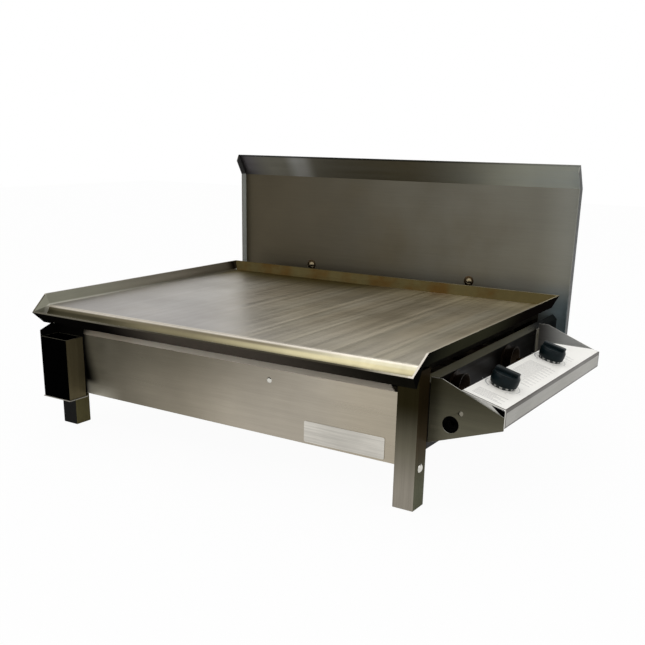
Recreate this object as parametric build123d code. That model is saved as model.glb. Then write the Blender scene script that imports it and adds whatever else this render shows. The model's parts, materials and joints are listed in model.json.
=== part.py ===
"""Built-in flat plate barbecue: a folded griddle over two gas burners, on a low stand.

Millimetres. While it is modelled, X = 0 is the middle of the stand, Y = 0 the front faces of the
front legs and Z = 0 the bench. Every piece is moved to the middle of the whole footprint at the end.
"""
import os
from math import cos, radians, sin, sqrt, tan

from build123d import *

# Stand
leg_size = 32.0
leg_wall = 1.6
leg_height = 200.0
stand_width = 692.0
stand_depth = 571.0
leg_bolt_height = 60.0
leg_bolt_radius = 4.0
leg_bolt_head_radius = 6.5
leg_bolt_head = 3.0
leg_bolt_length = 14.0

# Body panels; a drop is measured down from the top of the legs
body_sheet = 1.2
front_panel_setback = 4.0
front_panel_drop = 34.0
front_panel_height = 104.0
front_flange_rise = 10.0
front_flange_run = 13.0
front_mitre_start = 6.0
front_mitre_end = 23.0
panel_return = 12.0
panel_tab = 20.0
panel_screw_place = 100.0
panel_screw_drop = 18.0
side_panel_drop = 22.0
side_panel_height = 95.0
side_flange_rise = 8.0
shield_lip = 12.0
shield_gap = 0.5
rear_panel_gap = 0.2

# Rails that carry the griddle
rail_sheet = 3.0
rail_rise = 8.0
rail_height = 30.0
rail_width = 25.0
rail_start = 12.0

# Griddle plate
griddle_side_overhang = 4.0
griddle_overhang = 9.6
griddle_sheet = 3.0
flue_gap = 58.0
flange_rise = 18.6
flange_lean = 8.0
gutter_depth = 23.0
gutter_run = 14.4
lip_rise = 16.4
lip_run = 17.0
lip_flare = 4.0
drain_length = 24.0
drain_width = 6.0

# Splashback
splash_overhang = 22.0
splash_sheet = 1.5
splash_bottom_drop = 50.0
splash_rise = 200.0
splash_top_rise = 40.0
splash_top_lean = 25.0
splash_return = 14.0
splash_corner_run = 6.0
splash_corner_drop = 12.0
splash_bolt_rise = 19.0
strap_offset = -12.4
strap_pitch = 361.0
strap_width = 25.0
strap_sheet = 3.0
strap_margin = 32.0
strap_foot_drop = 100.0

# Fasteners
bolt_radius = 3.0
bolt_clearance = 0.2
bolt_head_radius = 6.5
bolt_head = 4.0
bolt_end = 1.5
nut_flats = 10.0
nut_height = 5.0
screw_radius = 2.5
screw_head_radius = 4.5
screw_head = 2.4
screw_length = 8.0
slip_fit = 0.05

# Fat tin and its bracket
tin_width = 60.0
tin_depth = 37.0
tin_height = 104.5
tin_wall = 1.2
tin_gap = 0.3
bracket_sheet = 1.5
bracket_height = 129.0
bracket_rim = 1.5
ear_gap = 2.0
ear_fall = 13.0

# Control box
control_tilt = 15.0
control_fall = 1.0
control_reach = 108.5
control_inner = 45.4
control_drop = 24.5
control_sheet = 1.5
fascia_height = 25.6
fascia_return = 10.0
control_front_gap = 3.0
control_rear_gap = 67.0
control_end_gap = 0.2
corner_cut_run = 52.0
corner_cut_depth = 60.0
panel_lip = 14.0
panel_lip_gap = 1.2
end_plate_sheet = 1.5
end_plate_seat = 0.1
end_plate_low_drop = 108.0
end_plate_below_fascia = 4.0
end_plate_nose = 18.5
rear_nose_rise = 2.7
end_plate_shoulder = 17.0
end_plate_tab = 14.0
end_plate_tab_drop = 3.0
access_hole_radius = 12.0
rivet_reach = 46.0
rivet_drop = 58.0
rivet_head_radius = 3.6
rivet_head = 1.4
rivet_radius = 2.0

# Gas train
knob_setback = 80.0
knob_pitch = 203.0
knob_reach = 72.0
burner_drop = 45.0
manifold_reach = 32.0
manifold_drop = 76.0
manifold_radius = 8.0
manifold_wall = 1.5
manifold_tail = 44.0
inlet_flats = 26.0
inlet_setback = 13.0
inlet_length = 28.0
inlet_socket_radius = 6.4
inlet_socket_depth = 14.0
inlet_step = 0.9
inlet_overlap = 10.0
pipe_bracket_before = 33.0
pipe_bracket_after = 28.0
pipe_bracket_sheet = 2.0
pipe_bracket_rim = 4.0
pipe_bracket_height = 26.0
pipe_bracket_flange = 14.0

# Taps; lengths run along the tap's axis from the upper face of the control panel
push_travel = 3.0
push_clearance = 1.0
tap_wall = 7.0
tap_floor = 4.5
tap_neck_radius = 7.9
tap_neck_rise = 4.0
tap_hole_clearance = 0.3
tap_nut_flats = 21.0
tap_nut_height = 3.0
tap_nut_clearance = 0.1
plug_radius = 6.0
plug_clearance = 0.05
plug_end_gap = 0.5
plug_floor = 6.0
stem_radius = 4.0
stem_clearance = 0.1
stem_flat = 1.0
stem_shoulder = 5.0
tang_size = 4.0
tang_length = 15.0
tang_clearance = 0.1
outlet_radius = 7.0
outlet_reach = 53.0
inlet_arm_radius = 6.0
inlet_arm_drop = 27.0
injector_length = 34.0
injector_taper = 8.0
injector_radius = 4.5
injector_tip_radius = 2.2
injector_hex_flats = 12.0
injector_hex = 9.0
injector_orifice = 0.75

# Knobs
bezel_gap = 1.1
bezel_wall = 3.6
bezel_height = 8.5
knob_slide_gap = 0.6
knob_wall = 1.8
knob_swell = 0.8
knob_body_height = 16.0
knob_rim_taper = 5.0
knob_top_taper = 4.0
knob_top_inset = 2.0
knob_grip_width = 11.0
knob_grip_height = 5.0
knob_grip_round = 1.8
knob_hub_radius = 7.0
knob_top_wall = 2.0

# Burners
burner_tube_radius = 13.0
burner_wall = 1.5
burner_spread = 130.0
burner_header = 116.0
burner_far_end = 50.0
burner_bend = 26.0
inlet_tube_radius = 16.0
ports_per_bar = 12
port_width = 2.0
port_length = 12.0
port_depth = 3.0
tongue_length = 28.0
tongue_width = 24.0
tongue_sheet = 3.0
burner_bracket_width = 30.0
burner_bracket_height = 34.0
burner_bracket_reach = 30.0
venturi_clearance = 0.1
venturi_wall = 1.5
venturi_neck_length = 26.0
venturi_flange_width = 7.6
venturi_flange = 2.0
venturi_step = 1.6
venturi_flare = 6.6
venturi_length = 16.0

# Places worked out from the sizes
leg_outer = stand_width / 2
leg_inner = leg_outer - leg_size
rear_leg_front = stand_depth - leg_size
rear_leg_outer = leg_inner - rail_sheet
rear_leg_middle = rear_leg_outer - leg_size / 2
rail_top = leg_height + rail_rise
rail_screw_height = (leg_height + rail_top - rail_height) / 2
griddle_top = rail_top + griddle_sheet
griddle_front = -griddle_overhang
griddle_rear = stand_depth - flue_gap
griddle_half = leg_outer + griddle_side_overhang
flange_slope = flange_lean / flange_rise
flange_sheet = griddle_sheet * sqrt(1 + flange_slope**2)
gutter_bottom = (griddle_front - gutter_run, griddle_top - gutter_depth)
gutter_lip = (gutter_bottom[0] - lip_run, gutter_bottom[1] + lip_rise)
lip_length = sqrt(lip_run**2 + lip_rise**2)
lip_front = gutter_lip[0] - griddle_sheet * lip_rise / lip_length
splash_half = leg_outer + splash_overhang
splash_back = stand_depth + splash_sheet
splash_bottom = leg_height - splash_bottom_drop
splash_bend = griddle_top + splash_rise
strap_back = splash_back + strap_sheet
strap_places = (strap_offset - strap_pitch / 2, strap_offset + strap_pitch / 2)
strap_bolt_heights = (leg_height - strap_foot_drop, griddle_top + splash_bolt_rise)
front_panel_top = leg_height - front_panel_drop
front_panel_bottom = front_panel_top - front_panel_height
panel_screw_height = front_panel_top - panel_screw_drop
side_panel_top = leg_height - side_panel_drop
side_panel_bottom = side_panel_top - side_panel_height
rear_panel_top = splash_bottom - rear_panel_gap
rear_panel_margin = (rear_panel_top - front_panel_bottom) / 4
rear_screw_heights = (
    front_panel_bottom + rear_panel_margin,
    rear_panel_top - rear_panel_margin,
    (splash_bottom + leg_height) / 2,
)
ear_rear_top = gutter_bottom[1] - ear_gap
bracket_bottom = ear_rear_top - bracket_height
tin_bottom = bracket_bottom + bracket_sheet
tin_top = tin_bottom + tin_height
tin_left = -leg_outer + bracket_sheet + tin_gap
tin_right = tin_left + tin_width
tin_back = -bracket_sheet - tin_gap
tin_front = tin_back - tin_depth
bracket_right = tin_right + bracket_rim
bracket_front = tin_front - bracket_rim
tilt = radians(control_tilt)
fascia_outer = leg_outer + control_reach
fascia_inner = fascia_outer - control_sheet
control_inner_x = leg_outer + control_inner
control_inner_height = leg_height - control_drop
fascia_top = control_inner_height - (fascia_outer - control_inner_x) * tan(tilt)
fascia_bottom = fascia_top - fascia_height
control_front = leg_size + control_front_gap
control_rear = rear_leg_front - control_rear_gap
end_plate_low = leg_height - end_plate_low_drop
end_plate_nose_low = fascia_bottom - end_plate_below_fascia
end_plate_nose_top = end_plate_nose_low + end_plate_nose
end_plate_seat_height = control_inner_height - control_sheet / cos(tilt) - end_plate_seat
end_plate_slope = (end_plate_seat_height - end_plate_nose_top) / (fascia_inner - control_inner_x)
end_plate_shoulder_top = end_plate_seat_height + end_plate_slope * (control_inner - end_plate_shoulder)
panel_end = control_rear - end_plate_sheet - control_end_gap
knob_places = {"front": control_front + knob_setback, "rear": control_front + knob_setback + knob_pitch}
knob_x = leg_outer + knob_reach
knob_z = control_inner_height - (knob_x - control_inner_x) * tan(tilt)
burner_height = leg_height - burner_drop
burner_left = -leg_outer + burner_far_end
burner_right = leg_outer - burner_header
burner_end = leg_outer - body_sheet
neck_radius = inlet_tube_radius - burner_wall - venturi_clearance
manifold_x = leg_outer + manifold_reach
manifold_height = leg_height - manifold_drop
inlet_front = control_front + inlet_setback
manifold_start = inlet_front + inlet_length - inlet_overlap
manifold_end = knob_places["rear"] + manifold_tail
pipe_bracket_places = (knob_places["front"] - pipe_bracket_before, knob_places["rear"] + pipe_bracket_after)
outlet_face = leg_outer + outlet_reach
plug_top = stem_shoulder + push_travel + plug_end_gap
socket_bottom = stem_shoulder + tang_length + push_travel + plug_end_gap
plug_bottom = socket_bottom + plug_floor
tap_radius = plug_radius + tap_wall
tap_bottom = plug_bottom + tap_floor
bezel_bore = tap_nut_flats / sqrt(3) + bezel_gap
bezel_radius = bezel_bore + bezel_wall
knob_cavity_radius = bezel_radius + knob_slide_gap
knob_cavity_top = bezel_height + push_travel + push_clearance
knob_rim_radius = knob_cavity_radius + knob_wall
knob_radius = knob_rim_radius + knob_swell
knob_rim_height = push_travel + push_clearance
knob_top = knob_rim_height + knob_body_height
knob_top_radius = knob_radius - knob_top_inset
knob_hub_bottom = tap_neck_rise + push_travel + push_clearance
stem_top = knob_top - knob_top_wall

# The origin is the middle of the footprint
footprint_front = min(bracket_front, lip_front)
footprint_rear = strap_back + nut_height + bolt_end
centre_x = (fascia_outer - splash_half) / 2
centre_y = (footprint_front + footprint_rear) / 2


def block(x, y, z):
    """A box between two limits on each axis."""
    size = [high - low for low, high in (x, y, z)]
    middle = [(high + low) / 2 for low, high in (x, y, z)]
    return Pos(*middle) * Box(*size)


def prism(corners, direction, length):
    """A flat polygon pushed along a direction."""
    return extrude(Face(Wire.make_polygon(corners, close=True)), amount=length, dir=direction)


def prism_x(outline, low, high):
    """A (y, z) outline pushed along X."""
    return prism([(low, y, z) for y, z in outline], (1, 0, 0), high - low)


def prism_y(outline, low, high):
    """An (x, z) outline pushed along Y."""
    return prism([(x, low, z) for x, z in outline], (0, 1, 0), high - low)


def fold(line, sheet):
    """The outline of a folded sheet: one face of it as a line, and the other face to the left."""
    corners = [Vector(*point) for point in line]
    runs = [(b - a).normalized() for a, b in zip(corners, corners[1:])]
    normals = [Vector(-run.Y, run.X) for run in runs]
    other_face = []
    for before, corner, after in zip(normals[:1] + normals, corners, normals + normals[-1:]):
        mitre = before + after
        other_face.append(corner + mitre * (2 * sheet / mitre.length**2))
    return line + [(point.X, point.Y) for point in reversed(other_face)]


def rod(radius, start, direction, length):
    """A cylinder from a point along a direction."""
    return Plane(start, z_dir=direction) * Pos(0, 0, length / 2) * Cylinder(radius, length)


def drill(radius, point, direction, reach):
    """A cutter for a round hole that passes both ways through a point."""
    start = Vector(*point) - Vector(*direction) * reach
    return rod(radius, start, direction, 2 * reach)


def hexagon(flats, start, direction, length):
    """A six-sided bar from a point along a direction."""
    face = Plane(start, z_dir=direction) * RegularPolygon(flats / sqrt(3), 6)
    return extrude(face, amount=length, dir=direction)


def turned(profile, start, direction):
    """A (distance, radius) profile turned about the line from a point along a direction."""
    face = Plane.XZ * make_face(Polyline([(radius, along) for along, radius in profile], close=True))
    return Plane(start, z_dir=direction) * revolve(face, Axis.Z)


def domed(shank_radius, shank_length, head_radius, head_height, start, direction):
    """A bolt, screw or rivet: a dome on a face, its shank going in behind it."""
    dome_radius = (head_radius**2 + head_height**2) / (2 * head_height)
    head = rod(head_radius, (0, 0, 0), (0, 0, 1), head_height)
    head &= Pos(0, 0, head_height - dome_radius) * Sphere(dome_radius)
    shank = rod(shank_radius, (0, 0, -shank_length), (0, 0, 1), shank_length)
    return Plane(start, z_dir=direction) * (head + shank)


def screw(start, direction):
    """A small domed screw on a face."""
    return domed(screw_radius, screw_length, screw_head_radius, screw_head, start, direction)


def mirrored(piece):
    """The same piece on the other side of the stand."""
    return mirror(piece, about=Plane.YZ)


def leg(side, front, outer):
    """One square tube with a closed foot, and holes for its bolt and screws."""
    middle = front + leg_size / 2
    inner = outer - leg_size
    tube = block((inner, outer), (front, front + leg_size), (0, leg_height))
    tube -= block(
        (inner + leg_wall, outer - leg_wall),
        (front + leg_wall, front + leg_size - leg_wall),
        (leg_wall, leg_height + leg_wall),
    )
    reach = 2 * leg_wall
    tube -= drill(leg_bolt_radius + bolt_clearance, (outer, middle, leg_bolt_height), (1, 0, 0), reach)
    rail_face = outer if front > 0 else inner
    tube -= drill(screw_radius + bolt_clearance, (rail_face, middle, rail_screw_height), (1, 0, 0), reach)
    if front > 0:
        for height in rear_screw_heights:
            point = (rear_leg_middle, stand_depth, height)
            tube -= drill(screw_radius + bolt_clearance, point, (0, 1, 0), reach)
    return tube if side > 0 else mirrored(tube)


def leg_middles():
    """Where the middle of the front and of the rear legs is, front to back."""
    return leg_size / 2, stand_depth - leg_size / 2


def leg_bolts():
    """A domed bolt low in the outer face of each leg."""
    bolts = []
    for outer, middle in zip((leg_outer, rear_leg_outer), leg_middles()):
        start = (outer, middle, leg_bolt_height)
        bolt = domed(leg_bolt_radius, leg_bolt_length, leg_bolt_head_radius, leg_bolt_head, start, (1, 0, 0))
        bolts += [bolt, mirrored(bolt)]
    return bolts


def front_panel():
    """A folded panel between the front legs, its top flange sloping back with mitred ends."""
    face = front_panel_setback
    top = front_panel_top + front_flange_rise
    line = [
        (face + front_flange_run, top),
        (face, front_panel_top),
        (face, front_panel_bottom),
        (face + panel_return, front_panel_bottom),
    ]
    panel = prism_x(fold(line, body_sheet), -leg_inner, leg_inner)
    beyond = leg_inner + body_sheet
    mitre = [
        (beyond, front_panel_top),
        (leg_inner - front_mitre_start, front_panel_top),
        (leg_inner - front_mitre_end, top),
        (beyond, top),
    ]
    corner = prism_y(mitre, face - body_sheet, face + front_flange_run + body_sheet)
    tab = block(
        (leg_inner - body_sheet, leg_inner),
        (face, face + panel_tab),
        (front_panel_bottom, front_panel_top - front_flange_rise),
    )
    panel = panel - corner - mirrored(corner) + tab + mirrored(tab)
    middle = (panel_screw_place, face, panel_screw_height)
    return panel - drill(screw_radius + bolt_clearance, middle, (0, 1, 0), screw_length)


def panel_screw():
    """The one screw in the front panel."""
    return screw((panel_screw_place, front_panel_setback, panel_screw_height), (0, -1, 0))


def rear_hole(x, height, radius):
    """A clearance hole through the sheets at the back."""
    return drill(radius + bolt_clearance, (x, splash_back, height), (0, 1, 0), 2 * strap_sheet)


def rear_panel():
    """A flat sheet across the rear faces of the rear legs, below the splashback."""
    panel = block((-leg_outer, leg_outer), (stand_depth, splash_back), (front_panel_bottom, rear_panel_top))
    for height in rear_screw_heights[:2]:
        panel -= rear_hole(-rear_leg_middle, height, screw_radius)
        panel -= rear_hole(rear_leg_middle, height, screw_radius)
    for x in strap_places:
        panel -= rear_hole(x, strap_bolt_heights[0], bolt_radius)
    return panel


def rear_screws():
    """The screws that hold the rear panel and the splashback to the rear legs."""
    screws = []
    for height in rear_screw_heights:
        one = screw((rear_leg_middle, splash_back, height), (0, 1, 0))
        screws += [one, mirrored(one)]
    return screws


def side_panel(mouths):
    """A folded panel from the front leg to the rear panel, with holes for the burner mouths."""
    line = [
        (leg_outer - shield_lip, side_panel_bottom),
        (leg_outer, side_panel_bottom),
        (leg_outer, side_panel_top),
        (leg_outer - side_flange_rise, side_panel_top + side_flange_rise),
    ]
    panel = prism_y(fold(line, body_sheet), leg_size, stand_depth)
    tab_x = (leg_outer - shield_lip, leg_outer)
    tab_z = (side_panel_bottom, side_panel_top)
    panel += block(tab_x, (leg_size, leg_size + body_sheet), tab_z)
    panel += block(tab_x, (stand_depth - body_sheet, stand_depth), tab_z)
    for y in mouths:
        panel -= drill(neck_radius + bolt_clearance, (leg_outer, y, burner_height), (1, 0, 0), 2 * body_sheet)
    return panel


def heat_shield():
    """A shallow tray on the lower flanges of the side panels, between bench and burners."""
    half = leg_outer - body_sheet - shield_gap
    low = side_panel_bottom + body_sheet
    line = [(-half, low + shield_lip), (-half, low), (half, low), (half, low + shield_lip)]
    end_gap = body_sheet + shield_gap
    return prism_y(fold(line, body_sheet), leg_size + end_gap, rear_leg_front - end_gap)


def plate_rail():
    """An angle under one side of the griddle, inside the front leg and outside the rear leg."""
    line = [
        (leg_inner, rail_top - rail_height),
        (leg_inner, rail_top),
        (leg_inner - rail_width, rail_top),
    ]
    rail = prism_y(fold(line, rail_sheet), rail_start, stand_depth - rail_start)
    for middle in leg_middles():
        point = (leg_inner, middle, rail_screw_height)
        rail -= drill(screw_radius + bolt_clearance, point, (1, 0, 0), 2 * rail_sheet)
    return rail


def rail_screws():
    """One screw at each end of each rail."""
    front, rear = leg_middles()
    front_screw = screw((leg_inner - rail_sheet, front, rail_screw_height), (-1, 0, 0))
    rear_screw = screw((leg_inner, rear, rail_screw_height), (1, 0, 0))
    return [front_screw, mirrored(front_screw), rear_screw, mirrored(rear_screw)]


def leaning_walls(low, grow, front):
    """The space between the griddle's leaning walls, moved out by a distance, from a height up."""
    top = griddle_top + flange_rise
    low_grow = grow + (low - griddle_top) * flange_slope
    top_grow = grow + flange_lean
    across = [
        (-griddle_half - low_grow, low),
        (griddle_half + low_grow, low),
        (griddle_half + top_grow, top),
        (-griddle_half - top_grow, top),
    ]
    along = [(front, low), (griddle_rear + low_grow, low), (griddle_rear + top_grow, top), (front, top)]
    beyond = top_grow + griddle_sheet
    right = griddle_half + beyond
    return prism_y(across, front, griddle_rear + beyond) & prism_x(along, -right, right)


def griddle_tray():
    """The flat of the griddle with its two leaning flanges and its rear upstand, open in front."""
    outer = leaning_walls(griddle_top - griddle_sheet, flange_sheet, griddle_front)
    return outer - leaning_walls(griddle_top, 0.0, griddle_front - griddle_sheet)


def griddle_gutter():
    """The V gutter along the front edge of the griddle."""
    end = griddle_half + flange_sheet
    line = [(griddle_front, griddle_top), gutter_bottom, gutter_lip]
    return prism_x(fold(line, griddle_sheet), -end, end)


def gutter_end():
    """The right end of the gutter: two facets from the flange down to the lip, and the lip's flare."""
    bend_point = (griddle_half, griddle_front, griddle_top)
    bottom_point = (griddle_half, *gutter_bottom)
    lip_point = (griddle_half + lip_flare, *gutter_lip)
    flange_point = (griddle_half + flange_lean, griddle_front, griddle_top + flange_rise)
    end = prism([bend_point, bottom_point, lip_point], (1, 0, 0), flange_sheet)
    end += prism([bend_point, lip_point, flange_point], (1, 0, 0), flange_sheet)
    outward = (0, -lip_rise / lip_length, -lip_run / lip_length)
    corner = griddle_half + flange_sheet
    flare = [(corner, *gutter_bottom), (corner + lip_flare, *gutter_lip), (corner, *gutter_lip)]
    return end + prism(flare, outward, griddle_sheet)


def griddle_plate():
    """The whole folded griddle, with a drain through the gutter above the fat tin."""
    end = gutter_end()
    plate = griddle_tray() + griddle_gutter() + end + mirrored(end)
    bottom_y, bottom_z = gutter_bottom
    drain_x = (tin_left + tin_right) / 2
    drain = block(
        (drain_x - drain_length / 2, drain_x + drain_length / 2),
        (bottom_y - drain_width / 2, bottom_y + drain_width / 2),
        (bottom_z - drain_width - griddle_sheet, bottom_z + drain_width),
    )
    return plate - drain


def splashback():
    """The tall sheet at the back: leaning top flange, and returns down both sides."""
    top = (stand_depth - splash_top_lean, splash_bend + splash_top_rise)
    bend = (stand_depth, splash_bend)
    bottom = (stand_depth, splash_bottom)
    sheet = prism_x(fold([top, bend, bottom], splash_sheet), -splash_half, splash_half)
    front = stand_depth - splash_return
    corner = (top[0] - splash_corner_run, top[1] - splash_corner_drop)
    side = [bottom, bend, top, corner, (front, splash_bend), (front, splash_bottom)]
    wing = prism_x(side, splash_half - splash_sheet, splash_half)
    sheet = sheet + wing + mirrored(wing)
    for x in strap_places:
        sheet -= rear_hole(x, strap_bolt_heights[1], bolt_radius)
    for x in (-rear_leg_middle, rear_leg_middle):
        sheet -= rear_hole(x, rear_screw_heights[2], screw_radius)
    return sheet


def splash_straps():
    """Two flat uprights behind, from the rear panel to the splashback."""
    foot, head = strap_bolt_heights
    straps = []
    for x in strap_places:
        across = (x - strap_width / 2, x + strap_width / 2)
        strap = block(across, (splash_back, strap_back), (foot - strap_width, head + strap_margin))
        straps.append(strap - rear_hole(x, foot, bolt_radius) - rear_hole(x, head, bolt_radius))
    return straps


def strap_bolts():
    """Dome-head bolts through the splashback and the rear panel into the straps."""
    length = footprint_rear - stand_depth
    bolts = []
    for x in strap_places:
        for height in strap_bolt_heights:
            start = (x, stand_depth, height)
            bolts.append(domed(bolt_radius, length, bolt_head_radius, bolt_head, start, (0, -1, 0)))
    return bolts


def strap_nuts():
    """The nuts on those bolts."""
    nuts = []
    for x in strap_places:
        for height in strap_bolt_heights:
            start = (x, strap_back, height)
            nut = hexagon(nut_flats, start, (0, 1, 0), nut_height)
            nuts.append(nut - drill(bolt_radius + slip_fit, start, (0, 1, 0), 2 * nut_height))
    return nuts


def collector_bracket():
    """The holder of the fat tin on the front left leg: back, sloping ear and shelf."""
    left = -leg_outer
    back = block((left, bracket_right), (-bracket_sheet, 0), (bracket_bottom, ear_rear_top))
    ear = [
        (0, bracket_bottom),
        (0, ear_rear_top),
        (tin_front, ear_rear_top - ear_fall),
        (tin_front, bracket_bottom),
    ]
    shelf = block((left - bracket_rim, bracket_right), (bracket_front, 0), (bracket_bottom, tin_bottom))
    return back + prism_x(ear, left, left + bracket_sheet) + shelf


def fat_tin():
    """An open box that stands on the shelf and pulls out to the front."""
    box = block((tin_left, tin_right), (tin_front, tin_back), (tin_bottom, tin_top))
    return box - block(
        (tin_left + tin_wall, tin_right - tin_wall),
        (tin_front + tin_wall, tin_back - tin_wall),
        (tin_bottom + tin_wall, tin_top + tin_wall),
    )


def end_plate(nose_top):
    """One end of the control box, with a flange on the side panel and a tab on the fascia."""
    outline = [
        (leg_outer, end_plate_low),
        (fascia_inner, end_plate_nose_low),
        (fascia_inner, nose_top),
        (leg_outer + end_plate_shoulder, end_plate_shoulder_top),
        (leg_outer, end_plate_shoulder_top),
    ]
    plate = prism_y(outline, control_front, control_front + end_plate_sheet)
    depth = (control_front, control_front + end_plate_tab)
    flange_x = (leg_outer, leg_outer + end_plate_sheet)
    plate += block(flange_x, depth, (end_plate_low + end_plate_sheet, side_panel_top))
    tab_x = (fascia_inner - end_plate_sheet, fascia_inner)
    return plate + block(tab_x, depth, (fascia_bottom + control_sheet, nose_top - end_plate_tab_drop))


def front_end_plate():
    """The front end plate has the access hole for the gas line and a rivet."""
    access = (manifold_x, control_front, manifold_height)
    plate = end_plate(end_plate_nose_top) - drill(access_hole_radius, access, (0, 1, 0), 2 * end_plate_sheet)
    return plate - drill(rivet_radius + slip_fit, rivet_place(), (0, 1, 0), 2 * end_plate_sheet)


def rear_end_plate():
    """The other end plate faces forwards, a little taller at its nose, and stands up behind the panel."""
    middle = Plane.XZ.offset(-(control_front + control_rear) / 2)
    return mirror(end_plate(end_plate_nose_top + rear_nose_rise), about=middle)


def rivet_place():
    """Where the rivet sits on the front end plate."""
    return (leg_outer + rivet_reach, control_front, leg_height - rivet_drop)


def end_plate_rivet():
    """A rivet through the front end plate."""
    length = end_plate_sheet + rivet_head
    return domed(rivet_radius, length, rivet_head_radius, rivet_head, rivet_place(), (0, -1, 0))


def falling():
    """The turn that lets the control panel and the taps on it fall to the rear, so that rain runs off."""
    back = Pos(0, control_front, control_inner_height)
    return back * Rot(-control_fall, 0, 0) * Pos(0, -control_front, -control_inner_height)


def front_lip():
    """A lip under the panel that closes the gap above the front end plate, before the panel's fall."""
    outer_x = fascia_inner - 2 * end_plate_sheet
    outer_height = control_inner_height - (outer_x - control_inner_x) * tan(tilt)
    top = control_sheet / 2
    outline = [
        (control_inner_x, control_inner_height - top),
        (outer_x, outer_height - top),
        (outer_x, outer_height - panel_lip),
        (control_inner_x, control_inner_height - panel_lip),
    ]
    front = control_front + end_plate_sheet + panel_lip_gap
    return prism_y(outline, front, front + control_sheet)


def rear_corner():
    """What is cut off the panel in front of the rear end plate: a strip, and the inner corner at a slant."""
    beyond = 2 * fascia_return
    start = control_inner_x - beyond
    slant = beyond * corner_cut_depth / corner_cut_run
    strip = block(
        (start, fascia_inner),
        (panel_end, control_rear + beyond),
        (fascia_bottom - beyond, leg_height),
    )
    corner = [
        (start, panel_end - corner_cut_depth - slant, fascia_bottom),
        (control_inner_x + corner_cut_run, panel_end, fascia_bottom),
        (start, panel_end, fascia_bottom),
    ]
    return strip + prism(corner, (0, 0, 1), leg_height - fascia_bottom)


def control_panel():
    """The tilted panel with its fascia, front lip and lower return, bored for the two taps."""
    line = [
        (fascia_outer - fascia_return, fascia_bottom),
        (fascia_outer, fascia_bottom),
        (fascia_outer, fascia_top),
        (control_inner_x, control_inner_height),
    ]
    panel = prism_y(fold(line, control_sheet), control_front, control_rear)
    gap = end_plate_tab + control_sheet
    inner = (fascia_outer - 2 * fascia_return, fascia_inner)
    low = (fascia_bottom - control_sheet, fascia_bottom + control_sheet)
    panel -= block(inner, (control_front, control_front + gap), low)
    panel -= block(inner, (control_rear - gap, control_rear), low)
    panel = falling() * (panel + front_lip()) - rear_corner()
    for y in knob_places.values():
        panel -= tap_plane(y) * drill(tap_neck_radius + tap_hole_clearance, (0, 0, 0), (0, 0, 1), tap_radius)
    return panel


def tap_plane(y):
    """Where a tap goes through the upper face of the control panel; its Z is the tap's axis."""
    level = Plane((knob_x, y, knob_z), x_dir=(cos(tilt), 0, -sin(tilt)), z_dir=(sin(tilt), 0, cos(tilt)))
    return Plane(falling() * level.location)


def tap_body(y):
    """A gas tap below the panel: neck, barrel, outlet boss and an arm to the manifold."""
    plane = tap_plane(y)
    body = plane * rod(tap_radius, (0, 0, -tap_bottom), (0, 0, 1), tap_bottom - control_sheet)
    outlet = plane.origin - plane.z_dir * ((plane.origin.Z - burner_height) / plane.z_dir.Z)
    body += rod(outlet_radius, (outlet_face, y, burner_height), (1, 0, 0), outlet.X - outlet_face)
    above = (-control_sheet, outlet_radius)
    body -= plane * block((-2 * tap_radius, 2 * tap_radius), (-tap_radius, tap_radius), above)
    body += plane * rod(tap_neck_radius, (0, 0, -control_sheet), (0, 0, 1), control_sheet + tap_neck_rise)
    arm_start = plane.origin - plane.z_dir * inlet_arm_drop
    arm = Vector(manifold_x, y, manifold_height) - arm_start
    body += rod(inlet_arm_radius, arm_start, arm.normalized(), arm.length)
    body -= drill(manifold_radius + slip_fit, (manifold_x, y, manifold_height), (0, 1, 0), tap_radius)
    cavity = plug_bottom + plug_end_gap
    bore = rod(plug_radius + plug_clearance, (0, 0, -cavity), (0, 0, 1), cavity - plug_top + plug_end_gap)
    bore += drill(stem_radius + stem_clearance, (0, 0, 0), (0, 0, 1), plug_top)
    return body - plane * bore


def tap_plug(y):
    """The turning plug inside a tap, with a square socket for the stem's tang."""
    plug = rod(plug_radius, (0, 0, -plug_bottom), (0, 0, 1), plug_bottom - plug_top)
    half = tang_size / 2 + tang_clearance
    return tap_plane(y) * (plug - block((-half, half), (-half, half), (-socket_bottom, 0)))


def d_shaft(radius, flat, low, high):
    """A round shaft with one flat."""
    wide = (-2 * radius, 2 * radius)
    return rod(radius, (0, 0, low), (0, 0, 1), high - low) - block((flat, 2 * radius), wide, (low, high))


def tap_stem(y):
    """A stem through the neck: a D end for the knob above, a square tang in the plug below."""
    flat = stem_radius - stem_flat
    stem = rod(stem_radius, (0, 0, -stem_shoulder), (0, 0, 1), stem_shoulder + knob_hub_bottom)
    stem += d_shaft(stem_radius, flat, knob_hub_bottom, stem_top)
    half = tang_size / 2
    stem += block((-half, half), (-half, half), (-stem_shoulder - tang_length, -stem_shoulder))
    return tap_plane(y) * stem


def tap_nut(y):
    """The lock nut that holds a tap to the panel."""
    nut = hexagon(tap_nut_flats, (0, 0, 0), (0, 0, 1), tap_nut_height)
    hole = drill(tap_neck_radius + tap_nut_clearance, (0, 0, 0), (0, 0, 1), 2 * tap_nut_height)
    return tap_plane(y) * (nut - hole)


def bezel(y):
    """The ring on the panel that the knob's rim slides down over."""
    ring = rod(bezel_radius, (0, 0, 0), (0, 0, 1), bezel_height)
    return tap_plane(y) * (ring - drill(bezel_bore, (0, 0, 0), (0, 0, 1), 2 * bezel_height))


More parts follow.
